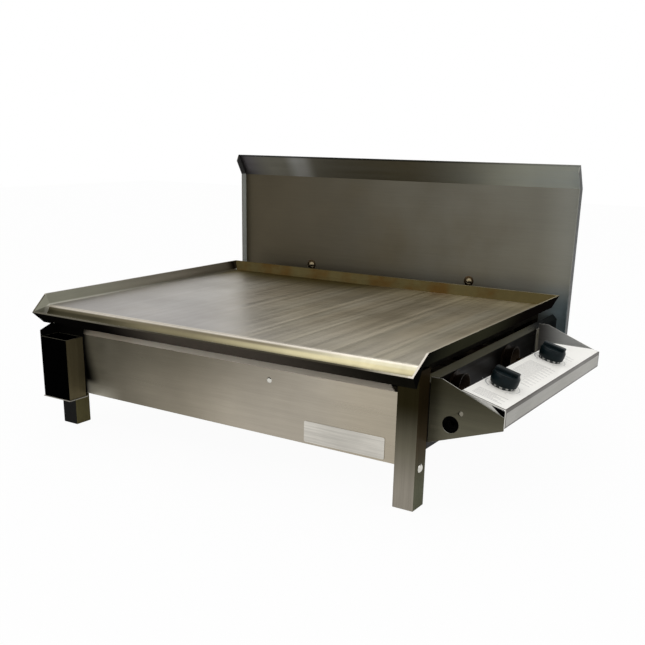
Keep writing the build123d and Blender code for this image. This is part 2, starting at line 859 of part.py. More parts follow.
def knob(y):
    """A barrel knob with a grip bar across the top and a hollow that clears the bezel."""
    profile = [
        (knob_rim_height, 0),
        (knob_rim_height, knob_rim_radius),
        (knob_rim_height + knob_rim_taper, knob_radius),
        (knob_top - knob_top_taper, knob_radius),
        (knob_top, knob_top_radius),
        (knob_top, 0),
    ]
    body = turned(profile, (0, 0, 0), (0, 0, 1))
    half = knob_grip_width / 2
    reach = (-knob_radius, knob_radius)
    bar = block(reach, (-half, half), (knob_cavity_top, knob_top + knob_grip_height))
    bar &= rod(knob_top_radius, (0, 0, 0), (0, 0, 1), knob_top + knob_grip_height)
    body += fillet(bar.edges().group_by(Axis.Z)[-1], knob_grip_round)
    body -= drill(knob_cavity_radius, (0, 0, 0), (0, 0, 1), knob_cavity_top)
    body += rod(knob_hub_radius, (0, 0, knob_hub_bottom), (0, 0, 1), stem_top - knob_hub_bottom)
    flat = stem_radius - stem_flat + slip_fit
    return tap_plane(y) * (body - d_shaft(stem_radius + slip_fit, flat, 0, stem_top))


def injector(y):
    """A brass jet on the tap's outlet, pointing into the burner's mouth."""
    start = (outlet_face, y, burner_height)
    profile = [
        (injector_hex, 0),
        (injector_hex, injector_radius),
        (injector_length - injector_taper, injector_radius),
        (injector_length, injector_tip_radius),
        (injector_length, 0),
    ]
    jet = hexagon(injector_hex_flats, start, (-1, 0, 0), injector_hex) + turned(profile, start, (-1, 0, 0))
    return jet - drill(injector_orifice, start, (1, 0, 0), 2 * injector_length)


def gas_manifold():
    """The pipe that feeds both taps, closed at its far end."""
    start = (manifold_x, manifold_start, manifold_height)
    length = manifold_end - manifold_start
    pipe = rod(manifold_radius, start, (0, 1, 0), length)
    return pipe - rod(manifold_radius - manifold_wall, start, (0, 1, 0), length - manifold_wall)


def gas_inlet_fitting():
    """A hexagon union behind the access hole: a socket for the gas pipe, the manifold at its back."""
    start = (manifold_x, inlet_front, manifold_height)
    fitting = hexagon(inlet_flats, start, (0, 1, 0), inlet_length)
    fitting -= rod(inlet_socket_radius, start, (0, 1, 0), inlet_socket_depth)
    fitting -= rod(inlet_socket_radius - inlet_step, start, (0, 1, 0), inlet_length)
    seat = (manifold_x, manifold_start, manifold_height)
    return fitting - rod(manifold_radius + slip_fit, seat, (0, 1, 0), inlet_overlap)


def manifold_brackets():
    """Two small angles on the side panel that carry the manifold."""
    half = pipe_bracket_height / 2
    height = (manifold_height - half, manifold_height + half)
    arm = (leg_outer, manifold_x + manifold_radius + pipe_bracket_rim)
    foot = (leg_outer, leg_outer + pipe_bracket_sheet)
    brackets = []
    for y in pipe_bracket_places:
        bracket = block(arm, (y, y + pipe_bracket_sheet), height)
        bracket += block(foot, (y, y + pipe_bracket_flange), height)
        point = (manifold_x, y, manifold_height)
        hole = drill(manifold_radius + slip_fit, point, (0, 1, 0), 2 * pipe_bracket_sheet)
        brackets.append(bracket - hole)
    return brackets


def burner_tubes(y, shrink):
    """A tube bent round into a loop with the inlet tube joined on, or the space inside them."""
    middle = Pos((burner_left + burner_right) / 2, y, burner_height)
    path = middle * RectangleRounded(burner_right - burner_left, burner_spread, burner_bend).wire()
    section = Plane(path @ 0, z_dir=path % 0) * Circle(burner_tube_radius - shrink)
    start = (burner_right + shrink, y, burner_height)
    inlet = rod(inlet_tube_radius - shrink, start, (1, 0, 0), burner_end - burner_right)
    return sweep(section, path) + inlet


def burner(y):
    """A loop burner with its inlet tube and a tongue, and slots along the two bars."""
    half = tongue_sheet / 2
    tongue = block(
        (burner_left - burner_tube_radius - tongue_length, burner_left),
        (y - tongue_width / 2, y + tongue_width / 2),
        (burner_height - half, burner_height + half),
    )
    hollow = burner_tubes(y, 0.0) + tongue - burner_tubes(y, burner_wall)
    first = burner_left + burner_bend
    pitch = (burner_right - burner_bend - first) / ports_per_bar
    top = burner_height + burner_tube_radius
    for bar in (y - burner_spread / 2, y + burner_spread / 2):
        for index in range(ports_per_bar):
            x = first + pitch * (index + 1 / 2)
            hollow -= block(
                (x - port_width / 2, x + port_width / 2),
                (bar - port_length / 2, bar + port_length / 2),
                (top - port_depth, top + port_depth),
            )
    return hollow


def burner_brackets():
    """A small shelf on the left side panel for the tongue of each burner."""
    wall = -leg_outer + body_sheet
    top = burner_height - tongue_sheet / 2
    line = [(wall + burner_bracket_reach, top), (wall, top), (wall, top - burner_bracket_height)]
    half = burner_bracket_width / 2
    return [prism_y(fold(line, bracket_sheet), y - half, y + half) for y in knob_places.values()]


def venturi(y):
    """The bell mouth of a burner, flanged to the side panel, its neck inside the inlet tube."""
    throat = neck_radius - venturi_wall
    flange_radius = neck_radius + venturi_flange_width
    mouth_radius = neck_radius + venturi_flare
    profile = [
        (-venturi_neck_length, throat),
        (-venturi_neck_length, neck_radius),
        (0, neck_radius),
        (0, flange_radius),
        (venturi_flange, flange_radius),
        (venturi_flange, neck_radius + venturi_step),
        (venturi_length, mouth_radius),
        (venturi_length, mouth_radius - venturi_wall),
        (0, throat),
    ]
    return turned(profile, (leg_outer, y, burner_height), (1, 0, 0))


def build():
    """Every piece by its name; a piece that repeats is a list of solids."""
    pieces = {
        "leg_front_left": leg(-1, 0.0, leg_outer),
        "leg_front_right": leg(1, 0.0, leg_outer),
        "leg_rear_left": leg(-1, rear_leg_front, rear_leg_outer),
        "leg_rear_right": leg(1, rear_leg_front, rear_leg_outer),
        "leg_bolts": leg_bolts(),
        "front_panel": front_panel(),
        "panel_screw": panel_screw(),
        "rear_panel": rear_panel(),
        "rear_screws": rear_screws(),
        "left_side_panel": mirrored(side_panel([])),
        "right_side_panel": side_panel(knob_places.values()),
        "heat_shield": heat_shield(),
        "plate_rail_left": mirrored(plate_rail()),
        "plate_rail_right": plate_rail(),
        "rail_screws": rail_screws(),
        "griddle_plate": griddle_plate(),
        "splashback": splashback(),
        "splash_straps": splash_straps(),
        "strap_bolts": strap_bolts(),
        "strap_nuts": strap_nuts(),
        "collector_bracket": collector_bracket(),
        "fat_tin": fat_tin(),
        "front_end_plate": front_end_plate(),
        "rear_end_plate": rear_end_plate(),
        "end_plate_rivet": end_plate_rivet(),
        "control_panel": control_panel(),
        "gas_manifold": gas_manifold(),
        "gas_inlet_fitting": gas_inlet_fitting(),
        "manifold_brackets": manifold_brackets(),
        "burner_brackets": burner_brackets(),
    }
    for name, y in knob_places.items():
        pieces[f"{name}_burner"] = burner(y)
        pieces[f"{name}_venturi"] = venturi(y)
        pieces[f"{name}_injector"] = injector(y)
        pieces[f"{name}_tap_body"] = tap_body(y)
        pieces[f"{name}_tap_plug"] = tap_plug(y)
        pieces[f"{name}_tap_stem"] = tap_stem(y)
        pieces[f"{name}_tap_nut"] = tap_nut(y)
        pieces[f"{name}_bezel"] = bezel(y)
        pieces[f"{name}_knob"] = knob(y)
    return pieces


def main():
    """Move every piece to the footprint's middle and write it."""
    os.makedirs("parts", exist_ok=True)
    shift = Pos(-centre_x, -centre_y, 0)
    for name, piece in build().items():
        solids = piece if isinstance(piece, list) else [piece]
        placed = [shift * solid for solid in solids]
        shape = placed[0] if len(placed) == 1 else Compound(children=placed)
        export_step(shape, f"parts/{name}.step")


main()
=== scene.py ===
"""Looks of the built-in flat plate barbecue: materials, labels, light and camera around its CAD model.

Metres, in the CAD model's frame: +X to the user's right, +Y to the splashback, +Z up.
"""
import json
import math
from collections import namedtuple

import bpy
from mathutils import Matrix, Vector

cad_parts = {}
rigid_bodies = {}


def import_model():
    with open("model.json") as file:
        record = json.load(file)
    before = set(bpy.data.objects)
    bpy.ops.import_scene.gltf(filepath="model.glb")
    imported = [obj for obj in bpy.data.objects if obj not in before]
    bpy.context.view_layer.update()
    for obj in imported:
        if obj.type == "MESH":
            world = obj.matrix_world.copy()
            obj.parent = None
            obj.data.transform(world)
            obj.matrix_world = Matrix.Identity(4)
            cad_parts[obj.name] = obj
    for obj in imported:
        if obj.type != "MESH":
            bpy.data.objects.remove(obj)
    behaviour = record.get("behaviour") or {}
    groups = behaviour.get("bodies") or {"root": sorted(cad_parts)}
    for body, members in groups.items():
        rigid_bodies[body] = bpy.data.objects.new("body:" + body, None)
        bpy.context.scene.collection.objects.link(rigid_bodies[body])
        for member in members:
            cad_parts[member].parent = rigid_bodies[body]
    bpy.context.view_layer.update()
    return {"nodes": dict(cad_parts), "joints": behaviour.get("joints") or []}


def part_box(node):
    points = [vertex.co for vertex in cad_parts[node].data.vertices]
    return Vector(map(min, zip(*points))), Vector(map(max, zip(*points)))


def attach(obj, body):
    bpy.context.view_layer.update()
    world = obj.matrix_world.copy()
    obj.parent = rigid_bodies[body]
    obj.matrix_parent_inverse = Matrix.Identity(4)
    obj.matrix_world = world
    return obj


for leftover in list(bpy.data.objects):
    bpy.data.objects.remove(leftover)

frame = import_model()
nodes = frame["nodes"]

# CAD nodes that share a material or a bevel
legs = ("leg_front_left", "leg_front_right", "leg_rear_left", "leg_rear_right")
end_plates = ("front_end_plate", "rear_end_plate")
side_panels = ("left_side_panel", "right_side_panel")
plate_rails = ("plate_rail_left", "plate_rail_right")
knobs = ("front_knob", "rear_knob")

# Camera, solved from the photograph's edges: turn in degrees, lens and sensor in millimetres
camera_place = (0.7793, -1.2786, 0.4941)
camera_turn = (72.227, -0.845, 32.978)
camera_lens = 48.665
camera_sensor = 36.0
camera_shift = (0.0200, 0.1426)

# Background and floor
ambient_strength = 0.8
floor_half = 6.0
floor_drop = 0.0003
floor_white = 0.82
floor_glow = 0.96

# Square soft lights: place, the point they shine at, edge length, and power in watts
lamps = {
    "key": ((-0.75, -1.75, 1.75), (0.15, -0.25, 0.2), 0.9, 4.0),
    "fill": ((2.2, -0.6, 1.3), (0.2, 0.0, 0.15), 1.2, 4.0),
    "top": ((0.2, -0.1, 2.6), (0.2, 0.0, 0.2), 2.2, 10.0),
}

# Bevels on the edges that catch the light, with the least angle in degrees that gets one
sheet_bevel = 0.0005
knob_and_rail_bevel = 0.0007
leg_bevel = 0.0009
griddle_bevel = 0.0014
bevel_segments = 2
bevel_angle = 35
weld_distance = 1e-6

# Sizes of the CAD model's sheets, by which colours and pieces are placed
side_flange_run = 0.0112
upstand_run = 0.0158
gutter_run = 0.03344
lip_run = 0.00254
splash_flange = 0.040
tin_wall = 0.0012
end_plate_sheet = 0.0015
panel_slope = 0.268
panel_end_setback = 0.0017
fascia_height = 0.0256

# The griddle's bends to its side flanges, to the gutter, to the gutter's lip and to the rear upstand
griddle_low, griddle_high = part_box("griddle_plate")
left_bend_x = griddle_low.x + side_flange_run
right_bend_x = griddle_high.x - side_flange_run
gutter_bend_y = griddle_low.y + gutter_run
lip_y = griddle_low.y + lip_run
upstand_y = griddle_high.y - upstand_run

# Bands of colour on the griddle, as distances from one of its bends: where each sets in and where it is full
bend_to_upper_gutter = (-0.0008, -0.0024)
upper_to_lower_gutter = (-0.0030, -0.0050)
lower_gutter_to_bottom = (-0.0062, -0.0100)
gutter_to_lip = (0.0005, -0.0004)
gutter_to_flange = (-0.0018, 0.0004)
gutter_to_upstand = (-0.0005, 0.0005)
flat_to_bend = (0.0065, 0.0020)
flange_rear_end = (-0.030, 0.0)
flange_bend_line = (-0.0015, -0.0005)
flange_blur = 0.010
upstand_blur = 0.003

# Bands on the splashback, from its top edge and its fold, and the painted highlight on the tin's bracket,
# from its lowest edge
splash_edge_band = (-0.0045, -0.0020)
splash_fold_band = (-0.002, 0.002)
bracket_rim_band = (0.0035, 0.0005)

# The browner part of the griddle's flat, a painted reflection of the splashback: the direction that it lies
# in, and where it sets in along that
reflection_direction = (0.81, 0.58, 0.0)
reflection_band = (-0.24, -0.04)

# The fat tin's mirror image: where it sets in from the front panel's left end, and its lean per metre up
mirror_band = (0.09225, 0.06025)
mirror_lean = 0.30

# Fine relief, and how a noise is stretched so that its streaks run along one axis
relief_depth = 0.0002
grain_stretch = {"X": (0.02, 1, 1), "Y": (1, 0.02, 1), "Z": (1, 1, 0.02)}

# Studs round a knob's bezel
bezel_studs = 12

# Badge plate on the front panel
badge_size = (0.133, 0.032)
badge_from_leg = 0.0178
badge_from_bottom = 0.0035
badge_corner = 0.0025
badge_thickness = 0.0010

# Label on the control panel, and the bare strip along its fascia
label_thickness = 0.00025
label_margin = 0.0015
label_hole = 0.0172
label_corner_cut = (0.052, 0.060)
strip_top_margin = 0.0050
strip_margin = 0.0022
strip_blur = 0.0001

# Print on the label: a wedge and numbers round each knob, with the sweep in degrees
print_lift = 0.00005
dial_radius = 0.0245
dial_sweep = (-60, 240)
wedge_half_width = (0.0002, 0.0011)
wedge_steps = 40
digit_radius = 0.0285
digit_height = 0.0042
digit_count = 7

# Rules on the label, which take a few lengths in turn
rule_width = 0.0010
rule_pitch = 0.0042
rule_stagger = 0.008
rule_lengths = 3

# Room that the rules leave at the panel's edges and before and behind each knob's axis
rule_inner_margin = 0.010
rule_outer_margin = 0.012
rule_front_margin = 0.012
front_knob_room = (0.036, 0.040)
rear_knob_room = (0.038, 0.034)

# How far behind the rear knob's axis the rules go on
rule_reach = 0.062

# Dark ring behind the access hole, standing in for the shade there
hole_shade_radii = (0.0135, 0.0064)
hole_shade_thickness = 0.0015

# Dark wedge beside the control panel, standing in for the shade inside the control box
shade_wedge_run = 0.020
shade_wedge_height = 0.011
shade_wedge_thickness = 0.0006
shade_wedge_setback = 0.0012
shade_wedge_drop = 0.003

# Washers under the splashback's bolts
ring_radius = 0.0098
ring_thickness = 0.0006
bolt_head_radius = 0.0065


def srgb(red, green, blue):
    """A colour as a screen shows it, 0 to 255, turned into the linear values that shaders use."""
    shares = [value / 255 for value in (red, green, blue)]
    return tuple(s / 12.92 if s <= 0.04045 else ((s + 0.055) / 1.055) ** 2.4 for s in shares)


class Recipe:
    """A node material in the making, with its coordinates and the box round its CAD nodes at hand."""

    def __init__(self, name, names=(), metallic=1.0, roughness=0.35, specular=0.5):
        self.material = bpy.data.materials.new(name)
        self.material.use_nodes = True
        self.tree = self.material.node_tree
        self.shader = self.tree.nodes["Principled BSDF"]
        self.shader.inputs["Metallic"].default_value = metallic
        self.shader.inputs["Roughness"].default_value = roughness
        self.shader.inputs["Specular IOR Level"].default_value = specular
        self.coordinates = self.node("ShaderNodeTexCoord")
        corners = [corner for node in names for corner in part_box(node)]
        self.low = [min(values) for values in zip(*corners)]
        self.high = [max(values) for values in zip(*corners)]

    def node(self, kind, **settings):
        """A new node with some of its settings."""
        node = self.tree.nodes.new(kind)
        for name, value in settings.items():
            setattr(node, name, value)
        return node

    def join(self, value, socket):
        """Feeds a socket from another socket, or with a plain value."""
        if isinstance(value, bpy.types.NodeSocket):
            self.tree.links.new(value, socket)
        elif isinstance(value, tuple) and len(value) == 3 and socket.type == "RGBA":
            socket.default_value = (*value, 1.0)
        else:
            socket.default_value = value

    def feed(self, name, value):
        """Feeds one of the shader's own sockets."""
        self.join(value, self.shader.inputs[name])

    def noise(self, scale, stretch=(1, 1, 1), detail=2.0, shift=(0, 0, 0)):
        """Noise from 0 to 1 over the piece, drawn out along an axis by a small stretch value."""
        mapping = self.node("ShaderNodeMapping")
        self.join(self.coordinates.outputs["Object"], mapping.inputs["Vector"])
        mapping.inputs["Scale"].default_value = stretch
        mapping.inputs["Location"].default_value = shift
        noise = self.node("ShaderNodeTexNoise")
        noise.inputs["Scale"].default_value = scale
        noise.inputs["Detail"].default_value = detail
        self.join(mapping.outputs["Vector"], noise.inputs["Vector"])
        return noise.outputs["Fac"]

    def span(self, value, low, high, to_low=0.0, to_high=1.0):
        """A value's run from low to high turned into another run, smooth at both ends."""
        node = self.node("ShaderNodeMapRange", interpolation_type="SMOOTHSTEP")
        self.join(value, node.inputs["Value"])
        for name, number in (("From Min", low), ("From Max", high), ("To Min", to_low), ("To Max", to_high)):
            node.inputs[name].default_value = number
        return node.outputs["Result"]

    def fade(self, share, none, full):
        """One value where a share is 0, going over into another where it is 1."""
        return self.span(share, 0.0, 1.0, none, full)

    def coordinate(self, axis, kind="Object"):
        """The X, Y or Z of one kind of coordinates."""
        split = self.node("ShaderNodeSeparateXYZ")
        self.join(self.coordinates.outputs[kind], split.inputs["Vector"])
        return split.outputs[axis]

    def slanting(self, direction):
        """How far a spot lies along a direction that need not follow an axis."""
        node = self.node("ShaderNodeVectorMath", operation="DOT_PRODUCT")
        self.join(self.coordinates.outputs["Object"], node.inputs[0])
        node.inputs[1].default_value = direction
        return node.outputs["Value"]

    def near(self, axis, place, start, stop):
        """0 to 1 between two distances from a place on an axis, in metres."""
        return self.span(self.coordinate(axis), place + start, place + stop)

    def along(self, axis, start, stop):
        """0 to 1 between two shares of the CAD nodes' box, whose low end is 0 and whose high end is 1."""
        index = "XYZ".index(axis)
        low = self.low[index]
        length = self.high[index] - low
        return self.near(axis, low, start * length, stop * length)

    def stripe(self, axis, start, full, ebb, stop):
        """0 to 1 and back to 0 over four shares of the CAD nodes' box."""
        return self.both(self.along(axis, start, full), self.along(axis, stop, ebb))

    def facing(self, axis, start, stop):
        """0 to 1 as a face turns from one value of its normal's X, Y or Z to another."""
        return self.span(self.coordinate(axis, "Normal"), start, stop)

    def combine(self, operation, first, second):
        """Plain arithmetic on two values."""
        node = self.node("ShaderNodeMath", operation=operation)
        self.join(first, node.inputs[0])
        self.join(second, node.inputs[1])
        return node.outputs["Value"]

    def both(self, first, second):
        """The share where two shares meet."""
        return self.combine("MULTIPLY", first, second)

    def either(self, first, second):
        """The larger of two shares."""
        return self.combine("MAXIMUM", first, second)

    def opposite(self, share):
        """What a share leaves over."""
        return self.combine("SUBTRACT", 1.0, share)

    def mix(self, share, first, second, blend="MIX"):
        """One colour going over into another."""
        node = self.node("ShaderNodeMix", data_type="RGBA", blend_type=blend)
        self.join(share, node.inputs["Factor"])
        self.join(first, node.inputs["A"])
        self.join(second, node.inputs["B"])
        return node.outputs["Result"]

    def bump(self, height, strength):
        """Fine relief on the whole surface."""
        node = self.node("ShaderNodeBump")
        node.inputs["Strength"].default_value = strength
        node.inputs["Distance"].default_value = relief_depth
        self.join(height, node.inputs["Height"])
        self.feed("Normal", node.outputs["Normal"])


def brushed(recipe, colour, grain, contrast=0.16, smooth=0.26, rough=0.42):
    """Brushed steel over a colour: fine hairlines, broader bands and soft smudges."""
    stretch = grain_stretch[grain]
    hairlines = recipe.noise(900.0, stretch, detail=3.0)
    bands = recipe.noise(120.0, stretch, shift=(0.3, 0.7, 0.2))
    smudges = recipe.noise(9.0, detail=4.0, shift=(0.5, 0.1, 0.9))
    lines = recipe.combine("ADD", hairlines, bands)
    streaks = recipe.span(lines, 0.6, 1.4, 1.0 - contrast, 1.0 + contrast)
    wear = recipe.span(smudges, 0.3, 0.75, 1.0 + contrast / 2, 1.0 - contrast)
    shade = recipe.combine("MULTIPLY", streaks, wear)
    grey = recipe.node("ShaderNodeCombineColor")
    for channel in ("Red", "Green", "Blue"):
        recipe.join(shade, grey.inputs[channel])
    recipe.feed("Base Color", recipe.mix(1.0, colour, grey.outputs["Color"], "MULTIPLY"))
    dullness = recipe.combine("ADD", bands, smudges)
    recipe.feed("Roughness", recipe.span(dullness, 0.6, 1.4, smooth, rough))
    recipe.bump(hairlines, 0.12)
    return recipe.material


def grimy(recipe, unblackened, dirty):
    """A clean colour with soft patches that go halfway to a dirty one."""
    patches = recipe.span(recipe.noise(16.0, detail=5.0), 0.5, 0.8, 0.0, 0.5)
    return recipe.mix(patches, unblackened, dirty)


def mirrored_tin(recipe):
    """1 on the fat tin's mirror image at the left of the front panel, which leans, and 0 elsewhere."""
    left = recipe.low[0]
    start, stop = mirror_band
    leaning = recipe.slanting((1.0, 0.0, mirror_lean))
    above_bottom = recipe.along("Z", 0.14, 0.246)
    return recipe.both(recipe.span(leaning, left + start, left + stop), above_bottom)


def front_panel_steel():
    """The front panel: warm grey with painted shade to the left and top left, a painted highlight, the tin
    mirrored there as painted reflection, and dull on its slope.
    """
    recipe = Recipe("front_panel_steel", ["front_panel"], specular=0.2)
    # Painted shade: darker from right to left.
    across = recipe.along("X", -0.1, 0.824)
    colour = recipe.mix(across, srgb(84, 80, 68), srgb(166, 157, 140))
    # Painted highlight: a lighter band across the panel.
    shine = recipe.stripe("X", 0.378, 0.664, 0.76, 0.935)
    colour = recipe.mix(shine, colour, srgb(173, 165, 151))
    shadow = recipe.both(recipe.along("Z", 0.07, 0.947), recipe.along("X", 0.951, 0.442))
    colour = recipe.mix(shadow, colour, srgb(196, 196, 193), "MULTIPLY")
    # Painted shade at the left end beside the tin, lighter towards the bottom.
    left_end = recipe.along("X", 0.187, 0.059)
    downward = recipe.along("Z", 0.29, 0.0)
    left_end_shade = recipe.mix(downward, srgb(112, 107, 92), srgb(172, 167, 152))
    colour = recipe.mix(left_end, colour, left_end_shade)
    colour = recipe.mix(mirrored_tin(recipe), colour, srgb(8, 7, 6))
    slope = recipe.facing("Z", 0.3, 0.7)
    matte = recipe.either(slope, recipe.fade(left_end, 0.0, 0.7))
    recipe.feed("Metallic", recipe.opposite(matte))
    # The slope's colour, darker beside the tin as painted shade.
    beside_tin = recipe.along("X", 0.155, 0.282)
    lit = recipe.mix(beside_tin, srgb(212, 199, 178), srgb(246, 236, 218))
    right_end = recipe.along("X", 0.648, 0.887)
    lit = recipe.mix(right_end, lit, srgb(224, 213, 195))
    return brushed(recipe, recipe.mix(slope, colour, lit), "X", contrast=0.07)


def leg_steel():
    """The legs: grey feet, darker towards the plate and browner at their sides as painted shade, the left
    ones black in front.
    """
    recipe = Recipe("leg_steel", legs, specular=0.0)
    side = recipe.facing("Y", -0.9, -0.3)
    recipe.feed("Metallic", recipe.fade(side, 1.0, 0.1))
    # Painted shade: the sides are darker and browner than the fronts.
    foot = recipe.mix(side, srgb(134, 128, 117), srgb(90, 91, 74))
    middle = recipe.mix(side, srgb(98, 94, 80), srgb(66, 57, 42))
    top = recipe.mix(side, srgb(32, 28, 14), srgb(32, 25, 13))
    # Painted shade under the griddle: darker from the foot upwards.
    over_foot = recipe.along("Z", 0.1, 0.5)
    over_middle = recipe.along("Z", 0.375, 0.775)
    unblackened = recipe.mix(over_foot, foot, middle)
    unblackened = recipe.mix(over_middle, unblackened, top)
    outer = recipe.facing("X", -0.5, -0.9)
    # The left legs: black in front, olive at the sides.
    left_leg_colour = recipe.mix(side, srgb(10, 9, 7), srgb(100, 94, 64))
    left_leg_colour = recipe.mix(outer, left_leg_colour, srgb(66, 63, 55))
    rightward = recipe.along("X", 0.129, 0.707)
    return brushed(recipe, recipe.mix(rightward, left_leg_colour, unblackened), "Z", contrast=0.1)


def sheet_steel(name, colour, grain):
    """Plain sheet in one colour."""
    return brushed(Recipe(name), colour, grain)


def side_steel():
    """The side panels: grey on the left, the right one nearly black as painted shade, dull olive on their
    leaning tops, going black to the rear as painted shade.
    """
    recipe = Recipe("side_steel", side_panels, specular=0.05)
    left = recipe.along("X", 0.707, 0.418)
    recipe.feed("Metallic", left)
    # Painted shade: the right panel's wall nearly black.
    wall = recipe.mix(left, srgb(5, 4, 3), srgb(104, 99, 86))
    # Painted shade: the olive tops go black towards the rear.
    rearward = recipe.along("Y", 0.682, 0.83)
    olive = recipe.mix(rearward, srgb(56, 53, 32), srgb(14, 13, 10))
    top = recipe.facing("Z", 0.2, 0.5)
    return brushed(recipe, recipe.mix(top, wall, olive), "Y", contrast=0.14)


def burnt_steel():
    """Sheet that the burners have blackened."""
    recipe = Recipe("burnt_steel", metallic=0.2, specular=0.05)
    scorch = recipe.span(recipe.noise(18.0, detail=4.0), 0.35, 0.7)
    colour = recipe.mix(scorch, srgb(34, 31, 24), srgb(18, 16, 12))
    return brushed(recipe, colour, "Y", contrast=0.14, smooth=0.4, rough=0.6)


def end_plate_steel():
    """The end plates: dull, darker towards the top, the rear one lighter and greyer and darker towards its
    inner end, with a painted highlight on their upward edges.
    """
    recipe = Recipe("end_plate_steel", end_plates, specular=0.2)
    upward = recipe.along("Z", 0.085, 0.936)
    face = recipe.mix(upward, srgb(96, 93, 77), srgb(50, 47, 31))
    rear = recipe.along("Y", 0.308, 0.765)
    recipe.feed("Metallic", recipe.fade(rear, 0.5, 0.0))
    # The rear plate: lighter outwards, darker inwards and on its outward face.
    outward = recipe.along("X", -0.026, 0.535)
    rear_plate_colour = recipe.mix(outward, srgb(60, 58, 55), srgb(178, 178, 174))
    outer = recipe.facing("X", 0.4, 0.8)
    rear_plate_colour = recipe.mix(outer, rear_plate_colour, srgb(104, 100, 88))
    face = recipe.mix(rear, face, rear_plate_colour)
    # Painted highlight on the upward edges.
    edge = recipe.facing("Z", 0.3, 0.7)
    return brushed(recipe, recipe.mix(edge, face, srgb(168, 166, 158)), "X", contrast=0.1)


def fascia_strip(recipe, place):
    """1 on the bare strip along the outside of the fascia, which falls with the panel, and 0 elsewhere."""
    limits = panel_limits(place)
    start = place @ Vector((limits.outer, limits.near + strip_margin, 0))
    stop = place @ Vector((limits.outer, limits.far - strip_margin, 0))
    fall = (stop.z - start.z) / (stop.y - start.y)
    level = recipe.slanting((0.0, -fall, 1.0))
    edge = start.z - start.y * fall
    top = edge - strip_top_margin
    bottom = edge - fascia_height + strip_margin
    strip = recipe.facing("X", 0.7, 0.9)
    for side in (
        recipe.span(level, top, top - strip_blur),
        recipe.span(level, bottom, bottom + strip_blur),
        recipe.near("Y", start.y, 0.0, strip_blur),
        recipe.near("Y", stop.y, 0.0, -strip_blur),
    ):
        strip = recipe.both(strip, side)
    return strip


def control_steel(place):
    """The control panel's own metal: dark at its edges and inside, with a pale front lip and fascia strip."""
    recipe = Recipe("control_steel", specular=0.2)
    outside = recipe.facing("X", 0.1, 0.3)
    metal = recipe.mix(outside, srgb(30, 28, 24), srgb(74, 69, 62))
    lip = recipe.facing("Y", -0.6, -0.9)
    strip = fascia_strip(recipe, place)
    recipe.feed("Metallic", recipe.opposite(recipe.either(lip, strip)))
    strip_colour = grimy(recipe, srgb(156, 154, 147), srgb(134, 131, 124))
    colour = recipe.mix(strip, metal, strip_colour)
    return brushed(recipe, recipe.mix(lip, colour, srgb(214, 212, 205)), "Y", contrast=0.1)


def splash_face(recipe):
    """The splashback's face: olive, darker at the left and cooler and lighter at the right as painted shade
    and light, with stains and a bluish painted shade low at the right.
    """
    # Painted shade and light: darker at the left, lighter at the right.
    across = recipe.along("X", 0.015, 1.021)
    colour = recipe.mix(across, srgb(78, 71, 56), srgb(114, 112, 102))
    stains = recipe.span(recipe.noise(5.0, detail=5.0), 0.45, 0.75, 0.0, 0.6)
    colour = recipe.mix(stains, colour, srgb(90, 82, 64))
    right_end = recipe.along("X", 0.885, 1.048)
    colour = recipe.mix(right_end, colour, srgb(142, 143, 136))
    # Painted shade, bluish, low at the right end.
    painted_corner_shade = recipe.both(recipe.along("X", 0.885, 0.98), recipe.along("Z", 0.315, 0.133))
    in_front = recipe.facing("Y", 0.0, -0.5)
    return recipe.mix(recipe.both(painted_corner_shade, in_front), colour, srgb(124, 138, 142))


def splash_flange_colours(recipe):
    """The splashback's leaning flange, in painted reflections: dark at its left end, bluer to the right, with
    a pale patch.
    """
    # Painted reflections: dark at the left end, bluer to the right.
    left_end = recipe.along("X", 0.015, 0.11)
    colour = recipe.mix(left_end, srgb(76, 73, 74), srgb(102, 100, 90))
    rightward = recipe.along("X", 0.532, 0.966)
    colour = recipe.mix(rightward, colour, srgb(162, 172, 180))
    # Painted reflection: a pale patch.
    reflected_patch = recipe.stripe("X", 0.151, 0.199, 0.219, 0.26)
    return recipe.mix(reflected_patch, colour, srgb(138, 138, 134))


def splash_steel():
    """The splashback: its face and flange, a dark top edge, and side returns, the left one pale inside."""
    recipe = Recipe("splash_steel", ["splashback"], specular=0.15)
    flange = recipe.facing("Z", -0.25, -0.45)
    colour = recipe.mix(flange, splash_face(recipe), splash_flange_colours(recipe))
    edge_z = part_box("splashback")[1].z
    rightward = recipe.along("X", 0.423, 1.048)
    edge = recipe.both(recipe.near("Z", edge_z, *splash_edge_band), recipe.fade(rightward, 0.85, 0.25))
    colour = recipe.mix(edge, colour, srgb(34, 36, 36))
    facing_right = recipe.facing("X", 0.6, 0.9)
    colour = recipe.mix(facing_right, colour, srgb(74, 75, 74))
    left_return = recipe.both(facing_right, recipe.along("X", 0.695, 0.423))
    over_fold = recipe.near("Z", edge_z - splash_flange, *splash_fold_band)
    return_colour = recipe.mix(over_fold, srgb(172, 176, 172), srgb(66, 66, 66))
    colour = recipe.mix(left_return, colour, return_colour)
    metallic = recipe.fade(left_return, 0.55, 0.0)
    recipe.feed("Metallic", recipe.either(metallic, flange))
    return brushed(recipe, colour, "X", contrast=0.05, smooth=0.36, rough=0.54)


def bend_shine(recipe):
    """A painted highlight on the bend between the flat and the gutter, whiter at the right."""
    right_end = recipe.along("X", 0.768, 0.961)
    return recipe.mix(right_end, srgb(198, 191, 178), srgb(222, 216, 200))


